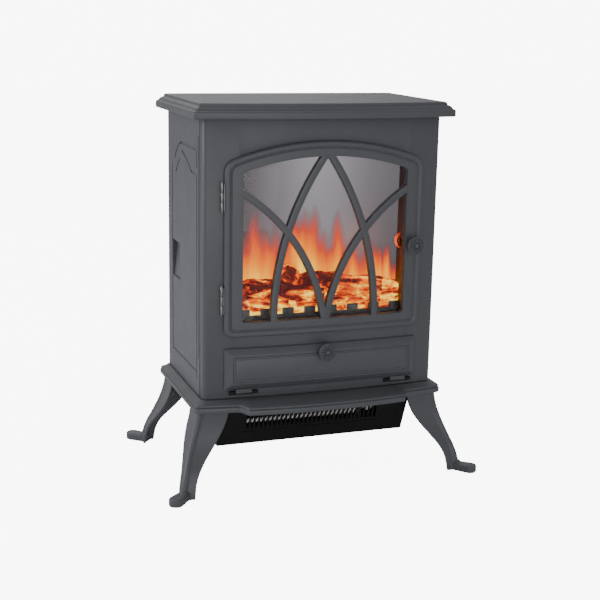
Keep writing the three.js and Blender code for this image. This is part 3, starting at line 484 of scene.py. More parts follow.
# turns the modifiers' result into the object's own mesh
def settle(obj):
    bpy.context.view_layer.update()
    graph = bpy.context.evaluated_depsgraph_get()
    mesh = bpy.data.meshes.new_from_object(
        obj.evaluated_get(graph), preserve_all_data_layers=True, depsgraph=graph
    )
    obj.modifiers.clear()
    obj.data = mesh
    return obj


def pointsOf(obj):
    points = np.empty(len(obj.data.vertices) * 3, np.float32)
    obj.data.vertices.foreach_get("co", points)
    return points.reshape(-1, 3)


# one number for every vertex, read by a material under this name
def giveValues(obj, name, values):
    attribute = obj.data.attributes.new(name, "FLOAT", "POINT")
    attribute.data.foreach_set("value", np.asarray(values, np.float32))


def combine(obj, tool, operation="DIFFERENCE", crossing=False):
    modifier = obj.modifiers.new("combine", "BOOLEAN")
    modifier.operation = operation
    modifier.solver = "EXACT"
    modifier.use_self = crossing
    modifier.object = tool
    settle(obj)
    bpy.data.objects.remove(tool)
    return obj


def outward(obj):
    work = bmesh.new()
    work.from_mesh(obj.data)
    bmesh.ops.remove_doubles(work, verts=work.verts, dist=0.01 * mm)
    bmesh.ops.recalc_face_normals(work, faces=work.faces)
    work.to_mesh(obj.data)
    work.free()
    return obj


def roundEdges(obj, width, segments=2, angle=50):
    modifier = obj.modifiers.new("round", "BEVEL")
    modifier.width = width * mm
    modifier.segments = segments
    modifier.limit_method = "ANGLE"
    modifier.angle_limit = math.radians(angle)
    modifier.miter_outer = "MITER_ARC"
    return settle(obj)


# shading, material, body and slot for a piece whose mesh is final
def finishPiece(obj, body, slot, replaced=(), smooth=38):
    mesh = obj.data
    mesh.polygons.foreach_set("use_smooth", [True] * len(mesh.polygons))
    mesh.set_sharp_from_angle(angle=math.radians(smooth))
    if not mesh.materials:
        mesh.materials.append(materials[slot])
    else:
        mesh.materials[0] = materials[slot]
    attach(obj, body)
    if replaced:
        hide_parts(*replaced)
    return obj


# a skin through loops with equal point counts
def rings(name, loops, closed=False):
    count = len(loops[0])
    verts = [point for loop in loops for point in loop]
    faces = []
    last = len(loops) if closed else len(loops) - 1
    for row in range(last):
        a, b = row * count, ((row + 1) % len(loops)) * count
        faces += [(a + i, a + (i + 1) % count, b + (i + 1) % count, b + i) for i in range(count)]
    if not closed:
        faces += [tuple(reversed(range(count))), tuple(range((len(loops) - 1) * count, len(loops) * count))]
    return outward(makeObject(name, verts, faces))


def prismY(name, outline, near, far):
    return rings(name, [[(x, near, z) for x, z in outline], [(x, far, z) for x, z in outline]])


def blockOf(name, low, high):
    (x0, y0, z0), (x1, y1, z1) = low, high
    return rings(name, [[(x0, y0, z), (x1, y0, z), (x1, y1, z), (x0, y1, z)] for z in (z0, z1)])


# a round body about an axis along y: profile is (radius, y) from tip to root
def turned(name, profile, sides, place):
    x, z = place
    loops = [
        [
            (x + r * math.cos(2 * math.pi * i / sides), y, z + r * math.sin(2 * math.pi * i / sides))
            for i in range(sides)
        ]
        for r, y in profile
    ]
    return rings(name, loops)


# geometry node helpers
def growTree(name, inputs):
    tree = bpy.data.node_groups.new(name, "GeometryNodeTree")
    tree.is_modifier = True
    tree.interface.new_socket(name="Geometry", in_out="OUTPUT", socket_type="NodeSocketGeometry")
    for label, kind in inputs:
        tree.interface.new_socket(name=label, in_out="INPUT", socket_type="NodeSocket" + kind)
    return tree, tree.nodes.new("NodeGroupInput").outputs, tree.nodes.new("NodeGroupOutput")


def closeTree(tree, geometry, end, material):
    real = shaderNode(tree, "GeometryNodeRealizeInstances", {"Geometry": geometry})
    coated = shaderNode(
        tree, "GeometryNodeSetMaterial", {"Geometry": real.outputs[0], "Material": material}
    )
    tree.links.new(coated.outputs[0], end.inputs[0])


def runTree(name, tree, values):
    obj = makeObject(name, [], [])
    modifier = obj.modifiers.new(name, "NODES")
    modifier.node_group = tree
    for item in tree.interface.items_tree:
        if item.in_out == "INPUT" and item.name in values:
            modifier[item.identifier] = values[item.name]
    settle(obj)
    return outward(obj)


def vectorOf(tree, x=0.0, y=0.0, z=0.0):
    return nodeOut(tree, "ShaderNodeCombineXYZ", {"X": x, "Y": y, "Z": z})


def joinOf(tree, *parts):
    node = tree.nodes.new("GeometryNodeJoinGeometry")
    for part in parts:
        tree.links.new(part, node.inputs[0])
    return node.outputs[0]


# the bowed front and arched outlines, shared by the fascia, door and flap
front = {"y": -114, "bow": 9, "half": 190, "wall": 4}
bowRadius = (front["half"] ** 2 + front["bow"] ** 2) / (2 * front["bow"])
archCentreZ = 105


def bowY(x, out=0.0):
    return front["y"] + bowRadius - math.sqrt((bowRadius + out) ** 2 - x ** 2)


def spread(a, b, steps):
    return [a + (b - a) * i / steps for i in range(steps + 1)]


def arcRun(cx, cz, radius, start, end, steps):
    return [(cx + radius * math.cos(t), cz + radius * math.sin(t)) for t in spread(start, end, steps)]


# an arched outline in x and z, always with the same number of points
def archOutline(half, bottom, radius, foot, shoulder):
    side = archCentreZ + math.sqrt(radius ** 2 - half ** 2)
    inner = half - shoulder * 0.8
    start = math.acos(inner / radius)
    innerZ = archCentreZ + math.sqrt(radius ** 2 - inner ** 2)
    curve = [
        (
            (1 - t) ** 2 * half + 2 * t * (1 - t) * half + t * t * inner,
            (1 - t) ** 2 * (side - shoulder) + 2 * t * (1 - t) * (side - 1) + t * t * innerZ,
        )
        for t in spread(0, 1, 9)
    ]
    points = [(x, bottom) for x in spread(-half + foot, half - foot, 30)]
    points += arcRun(half - foot, bottom + foot, foot, -math.pi / 2, 0, 8)[1:]
    points += [(half, z) for z in spread(bottom + foot, side - shoulder, 10)][1:]
    points += curve[1:]
    points += arcRun(0, archCentreZ, radius, start, math.pi - start, 48)[1:]
    points += [(-x, z) for x, z in reversed(curve)][1:]
    points += [(-half, z) for z in spread(side - shoulder, bottom + foot, 10)][1:]
    points += arcRun(-half + foot, bottom + foot, foot, math.pi, math.pi * 1.5, 8)[1:-1]
    return points


def onBow(outline, out):
    return [(x, bowY(x, out), z) for x, z in outline]


def bowedPlate(name, half, near, far, low, high, steps=72):
    across = spread(-half, half, steps)
    section = [(x, bowY(x, far)) for x in across] + [(x, bowY(x, near)) for x in reversed(across)]
    return rings(name, [[(x, y, z) for x, y in section] for z in (low, high)])


# top slab: an ogee edge under a flat top
slab = {"half": 207.5, "back": 122, "corner": -122, "bow": 18, "top": 590.5, "cornerRadius": 5, "recess": 6}
# inset, height
slabEdge = [
    (3.0, 568.3), (0.9, 568.3), (0.25, 568.6), (0.0, 569.3), (0.0, 576.9), (0.2, 577.9), (0.8, 578.8),
    (1.9, 579.4), (3.1, 579.9), (3.9, 580.9), (4.6, 582.2), (5.8, 583.5), (7.4, 584.6), (9.0, 585.4),
    (10.1, 585.9), (10.7, 586.5), (10.9, 587.4), (10.9, 588.6), (11.3, 589.3), (12.0, 589.9), (12.9, 590.3),
    (14.2, 590.5),
]


def slabOutline(inset):
    half, back = slab["half"] - inset, slab["back"] - inset
    corner = slab["corner"] + inset
    radius = max(slab["cornerRadius"] - inset * 0.2, 1.5)
    points = arcRun(-half + radius, corner + radius - 0.6, radius, math.pi, math.pi * 1.46, 8)
    points += [
        (x, corner - slab["bow"] * (1 - (x / half) ** 2)) for x in spread(-half + radius, half - radius, 62)
    ][1:-1]
    points += arcRun(half - radius, corner + radius - 0.6, radius, -math.pi * 0.46, 0, 8)
    points += [(half, y) for y in spread(corner + radius, back - 4, 6)][1:-1]
    points += arcRun(half - 4, back - 4, 4, 0, math.pi / 2, 5)
    points += arcRun(-half + 4, back - 4, 4, math.pi / 2, math.pi, 5)
    points += [(-half, y) for y in spread(back - 4, corner + radius, 6)][1:-1]
    return points


topSlab = rings("topSlab", [[(x, y, z) for x, y in slabOutline(inset)] for inset, z in slabEdge])
combine(topSlab, blockOf("slabHollow", (-178, -98, 560), (178, 100, slab["top"] - slab["recess"])))
finishPiece(outward(topSlab), "cabinet", "stove_paint", ["top_slab"], smooth=28)
print("slab ready")

# base plate: straight ends, an S-curve and a bowed nose, with a rounded lip under a groove
plinth = {
    "half": 204.5, "back": 118, "corner": -117, "step": -127, "nose": -156, "outer": 140, "inner": 126,
    "foot": 191.5,
}
# inset, height, share of the way to the cabinet's foot
plinthEdge = [
    (2.2, 126.3, 0), (0.8, 126.5, 0), (0.2, 127.2, 0), (0.0, 128.4, 0), (0.0, 132.2, 0), (0.3, 133.4, 0),
    (0.9, 134.0, 0), (2.0, 134.3, 0), (2.3, 134.8, 0), (2.0, 135.3, 0), (1.2, 135.8, 0), (1.0, 136.6, 0),
    (1.3, 137.6, 0), (2.2, 138.5, 0.02), (3.2, 139.0, 0.08), (3.6, 139.6, 0.24), (3.6, 140.6, 0.48),
    (3.4, 141.7, 0.76), (1.6, 142.7, 0.97), (0.0, 143.0, 1.0),
]


def lipY(x):
    across = abs(x)
    if across >= plinth["outer"]:
        share = (plinth["half"] - across) / (plinth["half"] - plinth["outer"])
        return plinth["corner"] + (plinth["step"] - plinth["corner"]) * share
    nose = plinth["nose"] + 8 * (across / plinth["inner"]) ** 2
    if across <= plinth["inner"]:
        return nose
    share = (plinth["outer"] - across) / (plinth["outer"] - plinth["inner"])
    return plinth["step"] + (plinth["nose"] + 8 - plinth["step"]) * share * share * (3 - 2 * share)


def plinthOutline(inset, share):
    stretches = [(-198, -142, 14), (-141, -125, 16), (-122, 122, 60), (125, 141, 16), (142, 198, 14)]
    stations = [x for stretch in stretches for x in spread(*stretch)]
    half = plinth["half"] - inset
    lip = [(-half, plinth["back"] - inset - 5), (-half, plinth["corner"] + 7 + inset)]
    turn = [
        (half - 2.1 + 2.1 * math.cos(t) - 1.4 * math.sin(t), plinth["corner"] + inset + 7 - 5.5 * math.sin(t))
        for t in (1.0, 0.5)
    ]
    lip += [(-x, y) for x, y in reversed(turn)]
    lip += [(x * half / plinth["half"], lipY(x) + inset) for x in stations]
    lip += turn
    lip += [(half, plinth["corner"] + 7 + inset), (half, plinth["back"] - inset - 5)]
    lip += arcRun(half - 5, plinth["back"] - inset - 5, 5, 0.2, math.pi / 2, 4)
    lip += arcRun(-half + 5, plinth["back"] - inset - 5, 5, math.pi / 2, math.pi - 0.2, 4)
    scale = plinth["foot"] / half
    foot = []
    for x, y in lip:
        footX = x * scale
        frontY = bowY(max(-181, min(181, footX)), 1.5) + max(0, abs(footX) - 181) ** 2 * 0.08
        foot.append((footX, frontY if y < -100 else min(y, 110.5)))
    return [(x + (fx - x) * share, y + (fy - y) * share) for (x, y), (fx, fy) in zip(lip, foot)]


basePlate = rings(
    "basePlate", [[(x, y, z) for x, y in plinthOutline(inset, share)] for inset, z, share in plinthEdge]
)
combine(basePlate, blockOf("baseHollow", (-184, -97, 120), (184, 104, 139)))
finishPiece(outward(basePlate), "cabinet", "stove_paint", ["base_plate"], smooth=30)
print("base ready")

# front fascia: bowed sheet with a beaded corner, cut for the fire and the controls
shell = {"low": 144.6, "top": 568, "seam": -88, "cornerRadius": 8, "beadY": -101.5, "beadRise": 1.1}


def fasciaSection():
    edge = front["half"]
    radius = shell["cornerRadius"]
    cornerX = edge - radius - 0.6
    centreY = bowY(cornerX) + radius
    side = [
        (edge - 0.6, shell["seam"]), (edge - 0.6, shell["beadY"] + 5.2), (edge - 1.5, shell["beadY"] + 3.7)
    ]
    bead = [
        (edge - 1.3 + shell["beadRise"] * math.sin(t), shell["beadY"] + 2.9 * math.cos(t))
        for t in spread(0.25, math.pi - 0.25, 8)
    ]
    side += bead + [(edge - 1.5, shell["beadY"] - 3.7), (edge - 0.6, shell["beadY"] - 5.0)]
    turn = [
        (cornerX + radius * math.cos(t), centreY - radius * math.sin(t))
        for t in spread(0.05, math.pi / 2, 10)
    ]
    right = [point for point in side + turn if point in turn or point[1] > centreY + 0.2]
    face = [(x, bowY(x)) for x in spread(cornerX - 2, -cornerX + 2, 76)]
    outer = right + face + [(-x, y) for x, y in reversed(right)]
    inner = [(-edge + front["wall"] + 0.6, shell["seam"])] + [
        (x, bowY(x, -front["wall"])) for x in spread(-cornerX + 3, cornerX - 3, 76)
    ]
    return outer + inner + [(edge - front["wall"] - 0.6, shell["seam"])]


fascia = rings(
    "frontFascia", [[(x, y, z) for x, y in fasciaSection()] for z in (shell["low"], shell["top"])]
)
combine(fascia, prismY("fireHole", archOutline(133.5, 260, 411, 5, 5), -140, -60))
combine(fascia, prismY("flapHole", [(-146, 170), (146, 170), (146, 217), (-146, 217)], -140, -60))
finishPiece(roundEdges(outward(fascia), 0.5, 2, 60), "cabinet", "stove_paint", ["front_fascia"], smooth=30)
print("fascia ready")

# side panels: pressed lines with a gothic head, and a grip let into the wall
panel = {"inner": 186, "outer": 190, "low": 144.6, "top": 568, "front": -87.7, "back": 107.5, "groove": 1.7}
pressedRuns = [
    [(-72, 168), (-72, 482), (-39, 484)], [(-72, 180), (80, 180), (80, 484)],
    [(-71, 493), (-71, 521), (27, 521)],
]
pressedArcs = [
    [(-39, 484), (-8, 501), (17, 508.5)], [(55, 472), (44, 485), (29, 494.5)],
    [(64, 492), (47, 509), (27, 519.5)],
]
frontBeadLine = [(-81, 202), (-81, 540)]
grip = {"front": 32, "back": 78, "low": 302, "high": 361, "depth": 8, "lipDepth": 2.2, "wall": 2.5}


def circleThrough(a, b, c):
    (ax, ay), (bx, by), (cx, cy) = a, b, c
    d = 2 * (ax * (by - cy) + bx * (cy - ay) + cx * (ay - by))
    aa, bb, cc = ax * ax + ay * ay, bx * bx + by * by, cx * cx + cy * cy
    x = (aa * (by - cy) + bb * (cy - ay) + cc * (ay - by)) / d
    y = (aa * (cx - bx) + bb * (ax - cx) + cc * (bx - ax)) / d
    return x, y, math.hypot(ax - x, ay - y)


def arcThrough(a, b, c, steps, overrun=0.0):
    x, y, radius = circleThrough(a, b, c)
    angles = [math.atan2(p[1] - y, p[0] - x) for p in (a, b, c)]
    start, end = (
        angle + 2 * math.pi * round((angles[1] - angle) / (2 * math.pi)) for angle in (angles[0], angles[2])
    )
    extra = math.copysign(overrun / radius, end - start)
    return [
        (x + radius * math.cos(t), y + radius * math.sin(t), radius)
        for t in spread(start - extra, end + extra, steps)
    ], (x, y)


# a round tool that runs along a path in y and z at depth x
def grooveTool(name, path, radius, x):
    loops = []
    for i, (y, z) in enumerate(path):
        before, after = path[max(i - 1, 0)], path[min(i + 1, len(path) - 1)]
        dy, dz = after[0] - before[0], after[1] - before[1]
        length = math.hypot(dy, dz)
        dy, dz = dy / length, dz / length
        miter = 1.0
        if 0 < i < len(path) - 1:
            ey, ez = path[i][0] - before[0], path[i][1] - before[1]
            miter = min(1.6, math.hypot(ey, ez) / max(abs(ey * dy + ez * dz), 1e-6))
        wide = radius * miter
        loops.append([
            (x + radius * math.cos(t), y - dz * wide * math.sin(t), z + dy * wide * math.sin(t))
            for t in spread(0, 2 * math.pi, 12)[:-1]
        ])
    return rings(name, loops)


def sidePanel(name, side, node):
    obj = blockOf(
        name, (panel["inner"], panel["front"], panel["low"]), (panel["outer"], panel["back"], panel["top"])
    )
    reach = grip["wall"]
    pocket = [
        (panel["outer"] - 0.02, grip["low"] - reach), (panel["outer"] - 0.02, grip["high"] + reach),
        (panel["outer"] - grip["depth"] - reach, grip["high"] + reach),
        (panel["inner"] - 0.2, grip["low"] - reach),
    ]
    hollow = [
        (panel["outer"] + 2, grip["low"]), (panel["outer"] + 2, grip["high"]),
        (panel["outer"] - grip["depth"], grip["high"]), (panel["outer"] - grip["lipDepth"], grip["low"]),
    ]
    for outline, grow, operation in ((pocket, reach, "UNION"), (hollow, 0, "DIFFERENCE")):
        low, high = grip["front"] - grow, grip["back"] + grow
        tool = rings("gripTool", [[(x, y, z) for x, z in outline] for y in (low, high)])
        combine(obj, tool, operation)
    depthX = panel["outer"] - 0.1
    paths = pressedRuns + [frontBeadLine]
    paths += [[(y, z) for y, z, _ in arcThrough(*arc, 12)[0]] for arc in pressedArcs]
    for path in paths:
        combine(obj, grooveTool("grooveTool", path, panel["groove"], depthX))
    if side < 0:
        obj.data.transform(Matrix.Scale(-1, 4, (1, 0, 0)))
    outward(obj)
    return finishPiece(obj, "cabinet", "stove_paint", [node], smooth=32)


sidePanel("rightSide", 1, "right_side_panel")
sidePanel("leftSide", -1, "left_side_panel")
print("sides ready")

# legs: two curved flanges meeting at a raised spine, standing on a toe that points outwards
leg = {
    "top": 126, "ridgeX": 198.5, "ridgeY": 109.5, "wall": 4.5, "toeX": 243.5, "toeY": 155,
    "toeRadius": 11.3, "heelRadius": 9.0, "inset": 5, "spine": 5.5, "proud": 1.2, "boss": 6.6, "voxel": 0.95,
}
# height, how far the ridge has moved out in x and y, flange width
legLevels = np.array(
    [
        (0, 35.1, 35.2, 23), (12, 33.7, 33.6, 23), (26, 31, 30.2, 23.3), (40, 27, 24.8, 26),
        (54, 22, 16.6, 31.5), (72, 15.5, 7.8, 40), (90, 9, 2.2, 46.3), (108, 3.3, 0.4, 49), (126, 0, 0, 50),
    ]
)
legSlopes = np.gradient(legLevels[:, 1:], legLevels[:, 0], axis=0)


def legAt(z):
    i = min(int(np.searchsorted(legLevels[:, 0], z, "right")) - 1, len(legLevels) - 2)
    low, high = legLevels[i], legLevels[i + 1]
    rise = high[0] - low[0]
    t = (z - low[0]) / rise
    near, far = legSlopes[i] * rise, legSlopes[i + 1] * rise
    return (2 * t ** 3 - 3 * t ** 2 + 1) * low[1:] + (t ** 3 - 2 * t ** 2 + t) * near \
        + (3 * t ** 2 - 2 * t ** 3) * high[1:] + (t ** 3 - t ** 2) * far


def legSection(z):
    pushX, pushY, width = (float(value) for value in legAt(z))
    x, y, wall, proud = leg["ridgeX"] + pushX, leg["ridgeY"] + pushY, leg["wall"], leg["proud"]
    radius = leg["spine"]
    sunk = 0.9
    room = min(1.0, (width - radius) / 20)
    flank = [
        (x - proud, y - width), (x - proud - sunk * 0.4, y - width * 0.8),
        (x - proud - sunk, y - radius - 6 * room), (x - proud - sunk * 0.7, y - radius - 3.2 * room),
        (x - 0.5, y - radius - 0.8 * room),
    ]
    spine = [
        (x - radius + radius * math.cos(t), y - radius + radius * math.sin(t))
        for t in spread(0, math.pi / 2, 8)
    ]
    mirrored = [(x + (b - y), y + (a - x)) for a, b in reversed(flank)]
    inner = [
        (x - width, y - wall - proud), (x - wall - 3.4, y - wall - proud), (x - wall - 1.8, y - wall - 1.8),
        (x - wall - proud, y - wall - 3.4), (x - wall - proud, y - width),
    ]
    return flank + spine + mirrored + inner


def circleAt(x, y, z, radius, sides):
    turn = spread(0, 2 * math.pi, sides)[:-1]
    return [(x + radius * math.cos(t), y + radius * math.sin(t), z) for t in turn]


def legTool(sx, sy, name):
    heights = spread(0, leg["top"], 42)
    blade = rings(name, [[(x, y, z) for x, y in legSection(z)] for z in heights])
    ankleX, ankleY = (float(value) for value in legAt(12)[:2])
    ax, ay = leg["ridgeX"] + ankleX - leg["inset"], leg["ridgeY"] + ankleY - leg["inset"]
    heading = math.atan2(leg["toeY"] - ay, leg["toeX"] - ax)
    loops = []
    shoe = [
        (-1.6, 0.0), (-0.5, 0.0), (-0.1, 0.5), (0.0, 1.4), (0.0, 9.8), (-0.3, 10.8), (-1.0, 11.5),
        (-2.2, 11.9), (-4.0, 12.0),
    ]
    for grow, z in shoe:
        toe, heel = leg["toeRadius"] + grow, leg["heelRadius"] + grow
        loop = [(leg["toeX"] + toe * math.cos(t), leg["toeY"] + toe * math.sin(t), z)
                for t in spread(heading - math.pi / 2, heading + math.pi / 2, 20)]
        loop += [(ax + heel * math.cos(t), ay + heel * math.sin(t), z)
                 for t in spread(heading + math.pi / 2, heading + 1.5 * math.pi, 14)]
        loops.append(loop)
    shoeBody = rings("shoe", loops)
    cap = rings("instep", [
        circleAt(ax + 1.5, ay + 1.5, 9.5 + 6 * t, 8.2 - 3.6 * t, 20) for t in (0, 0.35, 0.7, 1.0)
    ])
    bossX, bossY = leg["ridgeX"] - 10, leg["ridgeY"] - 10
    boss = rings("boss", [circleAt(bossX, bossY, z, leg["boss"], 24) for z in (98, leg["top"])])
    combine(blade, shoeBody, "UNION")
    combine(blade, cap, "UNION")
    combine(blade, boss, "UNION")
    remesh = blade.modifiers.new("cast", "REMESH")
    remesh.mode = "VOXEL"
    remesh.voxel_size = leg["voxel"] * mm
    smooth = blade.modifiers.new("soften", "SMOOTH")
    smooth.iterations = 3
    smooth.factor = 0.5
    settle(blade)
    blade.data.transform(Matrix.Diagonal((sx, sy, 1, 1)))
    points = pointsOf(blade)
    points[:, 2] = np.clip(points[:, 2], 0.0, leg["top"] * mm)  # a flat sole and a flat top
    blade.data.vertices.foreach_set("co", points.ravel())
    return outward(blade)


for name, sx, sy in (
    ("front_left", -1, -1), ("front_right", 1, -1), ("back_left", -1, 1), ("back_right", 1, 1)
):
    finishPiece(legTool(sx, sy, "leg." + name), "cabinet", "stove_paint", ["leg_" + name], smooth=70)
print("legs ready")

# door: a beaded arched frame, a lattice of four curved bars, and bowed glass
doorSizes = {
    "half": 159, "bottom": 241, "radius": 430, "foot": 14, "shoulder": 18, "openHalf": 131,
    "openBottom": 264, "openRadius": 407, "barWidth": 10, "barFront": 7.5, "barBack": -2.25, "flange": 1.6,
}
# inset, how far proud of the fascia
doorEdge = [
    (2.4, 0.6), (2.4, 3.0), (0.7, 3.5), (0.0, 4.3), (0.0, 5.6), (0.3, 7.0), (1.2, 8.3), (2.6, 9.1),
    (4.3, 9.4), (6.0, 9.2), (7.6, 8.6), (8.8, 7.7), (9.5, 6.9), (10.1, 6.7), (10.7, 6.9), (11.1, 7.6),
    (11.9, 7.95), (13.5, 8.0),
]
doorRings = []
for inset, out in doorEdge:
    outline = archOutline(
        doorSizes["half"] - inset, doorSizes["bottom"] + inset, doorSizes["radius"] - inset,
        max(doorSizes["foot"] - inset * 0.75, 4), max(doorSizes["shoulder"] - inset * 0.7, 4),
    )
    doorRings.append(onBow(outline, out))
for grow, out in ((2.0, 8.0), (0.5, 7.95), (0.1, 7.6), (0.0, 7.1), (0.0, -2.3), (1.6, -2.3), (1.6, 0.6)):
    outline = archOutline(
        doorSizes["openHalf"] + grow, doorSizes["openBottom"] - grow, doorSizes["openRadius"] + grow,
        4 + grow * 0.2, 4 + grow * 0.2,
    )
    doorRings.append(onBow(outline, out))
doorFrame = rings("doorFrame", doorRings, closed=True)

bars = None
for side in (1, -1):
    for points in (
        ((-4 * side, 514), (-61.5 * side, 398), (-82 * side, 264)),
        ((-131 * side, 459), (-61.5 * side, 398), (-2 * side, 264)),
    ):
        run, (cx, cz) = arcThrough(*points, 34, overrun=7)
        reach = doorSizes["barWidth"] / 2
        outline = [(cx + (x - cx) * (1 + reach / r), cz + (z - cz) * (1 + reach / r)) for x, z, r in run]
        outline += [
            (cx + (x - cx) * (1 - reach / r), cz + (z - cz) * (1 - reach / r)) for x, z, r in reversed(run)
        ]
        count = len(run)
        verts = [(x, y, z) for y in (-doorSizes["barFront"], -doorSizes["barBack"]) for x, z in outline]
        total = len(outline)
        faces = []
        for i in range(count - 1):
            j = total - 1 - i
            faces += [(i, i + 1, j - 1, j), (total + i, total + j, total + j - 1, total + i + 1)]
        faces += [(i, total + i, total + (i + 1) % total, (i + 1) % total) for i in range(total)]
        bar = outward(makeObject("bar", verts, faces))
        bars = bar if bars is None else combine(bars, bar, "UNION")
outward(bars)
work = bmesh.new()
work.from_mesh(bars.data)
for vert in work.verts:
    x, out = vert.co.x / mm, -vert.co.y / mm
    vert.co.y = bowY(x, out) * mm
work.to_mesh(bars.data)
work.free()
roundEdges(bars, 0.55, 2, 60)
reachOf = doorSizes["flange"] - 0.4
barLimit = archOutline(
    doorSizes["openHalf"] + reachOf, doorSizes["openBottom"] - reachOf, doorSizes["openRadius"] + reachOf,
    4, 4,
)
combine(bars, prismY("barLimit", barLimit, -150, -90), "INTERSECT")
combine(doorFrame, bars, "UNION")
finishPiece(outward(doorFrame), "door", "stove_paint", ["door_frame"], smooth=34)

doorGlass = bowedPlate("doorGlass", 137, -5.0, -2.6, 255, 520)
combine(doorGlass, prismY("glassEdge", archOutline(132.6, 262.4, 408.6, 5, 5), -150, -90), "INTERSECT")
finishPiece(roundEdges(outward(doorGlass), 0.4, 2, 60), "door", "door_glass", ["door_glass"], smooth=40)
print("door ready")

# control flap: a bevelled panel with a moulded rectangle, hung on two ears
flap = {
    "half": 157.5, "low": 158, "top": 222.5, "axisY": -114.4, "axisZ": 154.4, "ear": 2.1, "bore": 1.38,
    "earFrom": 115, "earTo": 140, "bracketFrom": 105, "bracketTo": 150,
}
# inset, how far proud of the fascia
flapEdge = [
    (2.2, 0.6), (2.2, 1.2), (0.4, 1.6), (0.0, 2.1), (0.25, 2.7), (0.9, 3.2), (3.0, 4.7), (5.2, 6.2),
    (7.4, 7.6), (9.0, 8.5), (9.9, 8.95), (10.8, 9.1), (11.8, 9.05), (12.1, 8.4), (12.7, 8.1), (13.2, 8.4),
    (13.7, 8.95), (14.4, 9.1), (15.2, 8.95), (15.6, 8.4), (16.1, 8.1), (16.7, 8.35), (17.6, 8.6),
]


def flapOutline(inset):
    half, low, top = flap["half"] - inset, flap["low"] + inset, flap["top"] - inset
    return [(x, low) for x in spread(-half, half, 56)] + [(half, z) for z in spread(low, top, 6)][1:] + \
        [(x, top) for x in spread(half, -half, 56)][1:] + [(-half, z) for z in spread(top, low, 6)][1:-1]


# a round rod along the pins of the flap
def axisRod(name, start, end, radius, sides):
    turn = spread(0, 2 * math.pi, sides)[:-1]
    return rings(name, [
        [(x, flap["axisY"] + radius * math.cos(t), flap["axisZ"] + radius * math.sin(t)) for t in turn]
        for x in (start, end)
    ])


flapRings = [onBow(flapOutline(inset), out) for inset, out in flapEdge]
count = len(flapRings[0])
verts = [point for ring in flapRings for point in ring]
faces = []
for row in range(len(flapRings) - 1):
    a, b = row * count, (row + 1) * count
    faces += [(a + i, a + (i + 1) % count, b + (i + 1) % count, b + i) for i in range(count)]
for start in (0, (len(flapRings) - 1) * count):  # strips close the front and the back along the bow
    for i in range(56):
        low0, low1 = start + i, start + i + 1
        high0, high1 = start + 62 + (56 - i), start + 62 + (56 - i - 1)
        faces.append((low0, low1, high1, high0))
    faces.append(tuple(start + 56 + k for k in range(7)))
    faces.append(tuple(start + (118 + k) % count for k in range(7)))
controlFlap = outward(makeObject("controlFlap", verts, faces))
for side in (-1, 1):
    x0, x1 = sorted((side * flap["earFrom"], side * flap["earTo"]))
    ear = axisRod("ear", x0, x1, flap["ear"], 24)
    neck = blockOf("neck", (x0, flap["axisY"] - 1, flap["axisZ"]), (x1, flap["axisY"] + 2, flap["low"] + 1))
    bore = axisRod("bore", x0 - 1, x1 + 1, flap["bore"], 20)
    combine(controlFlap, ear, "UNION")
    combine(controlFlap, neck, "UNION")
    combine(controlFlap, bore)
finishPiece(outward(controlFlap), "flap", "stove_paint", ["control_flap"], smooth=24)
for label, side in (("left", -1), ("right", 1)):
    lugs = ((flap["bracketFrom"], flap["earFrom"] - 0.5), (flap["earTo"] + 0.5, flap["bracketTo"]))
    spans = [sorted((side * a, side * b)) for a, b in lugs]
    backY, faceY = bowY(110) - 0.3, flap["axisY"] - 1.9
    bracket = None
    for x0, x1 in spans:
        lug = blockOf(
            "flapBracket." + label, (x0, faceY, flap["axisZ"] - 2.4), (x1, backY, flap["axisZ"] + 2.0)
        )
        bracket = lug if bracket is None else combine(bracket, lug, "UNION")
    x0, x1 = sorted((side * flap["bracketFrom"], side * flap["bracketTo"]))
    combine(
        bracket, blockOf("strap", (x0, backY - 1.2, flap["axisZ"] - 4.2), (x1, backY, flap["axisZ"] - 2.2)),
        "UNION",
    )
    bore = axisRod("bore", x0 - 1, x1 + 1, flap["bore"], 20)
    combine(bracket, bore)
    finishPiece(
        roundEdges(outward(bracket), 0.2, 1, 60), "cabinet", "black_paint", ["flap_hinge_bracket_" + label],
        smooth=40,
    )
print("flap ready")

# rosette knobs: petals round a small dome, grown by one tree
knobLook = {
    "Petals": 18, "Petal Length": 0.0078, "Petal Width": 0.0031, "Petal Rise": 0.0026, "Ring": 0.0090
}
tree, given, end = growTree(
    "petalRing",
    [
        ("Petals", "Int"), ("Petal Length", "Float"), ("Petal Width", "Float"), ("Petal Rise", "Float"),
        ("Ring", "Float"), ("Centre", "Vector"),
    ],
)
circle = nodeOut(tree, "GeometryNodeMeshCircle", {"Vertices": given["Petals"], "Radius": given["Ring"]})
petal = nodeOut(tree, "GeometryNodeMeshUVSphere", {"Segments": 16, "Rings": 10, "Radius": 1.0})
petal = nodeOut(
    tree, "GeometryNodeTransform",
    {
        "Geometry": petal,
        "Scale": vectorOf(
            tree, maths(tree, "MULTIPLY", given["Petal Length"], 0.62),
            maths(tree, "MULTIPLY", given["Petal Width"], 0.5), given["Petal Rise"],
        ),
    },
)
outwardLook = nodeOut(
    tree, "FunctionNodeAlignRotationToVector",
    {"Vector": nodeOut(tree, "GeometryNodeInputPosition")}, axis="X",
)
ring = nodeOut(
    tree, "GeometryNodeInstanceOnPoints", {"Points": circle, "Instance": petal, "Rotation": outwardLook}
)
ring = nodeOut(tree, "GeometryNodeTransform", {"Geometry": ring, "Rotation": (math.pi / 2, 0, 0)})
ring = nodeOut(tree, "GeometryNodeTransform", {"Geometry": ring, "Translation": given["Centre"]})
closeTree(tree, ring, end, materials["stove_paint"])
petalTree = tree


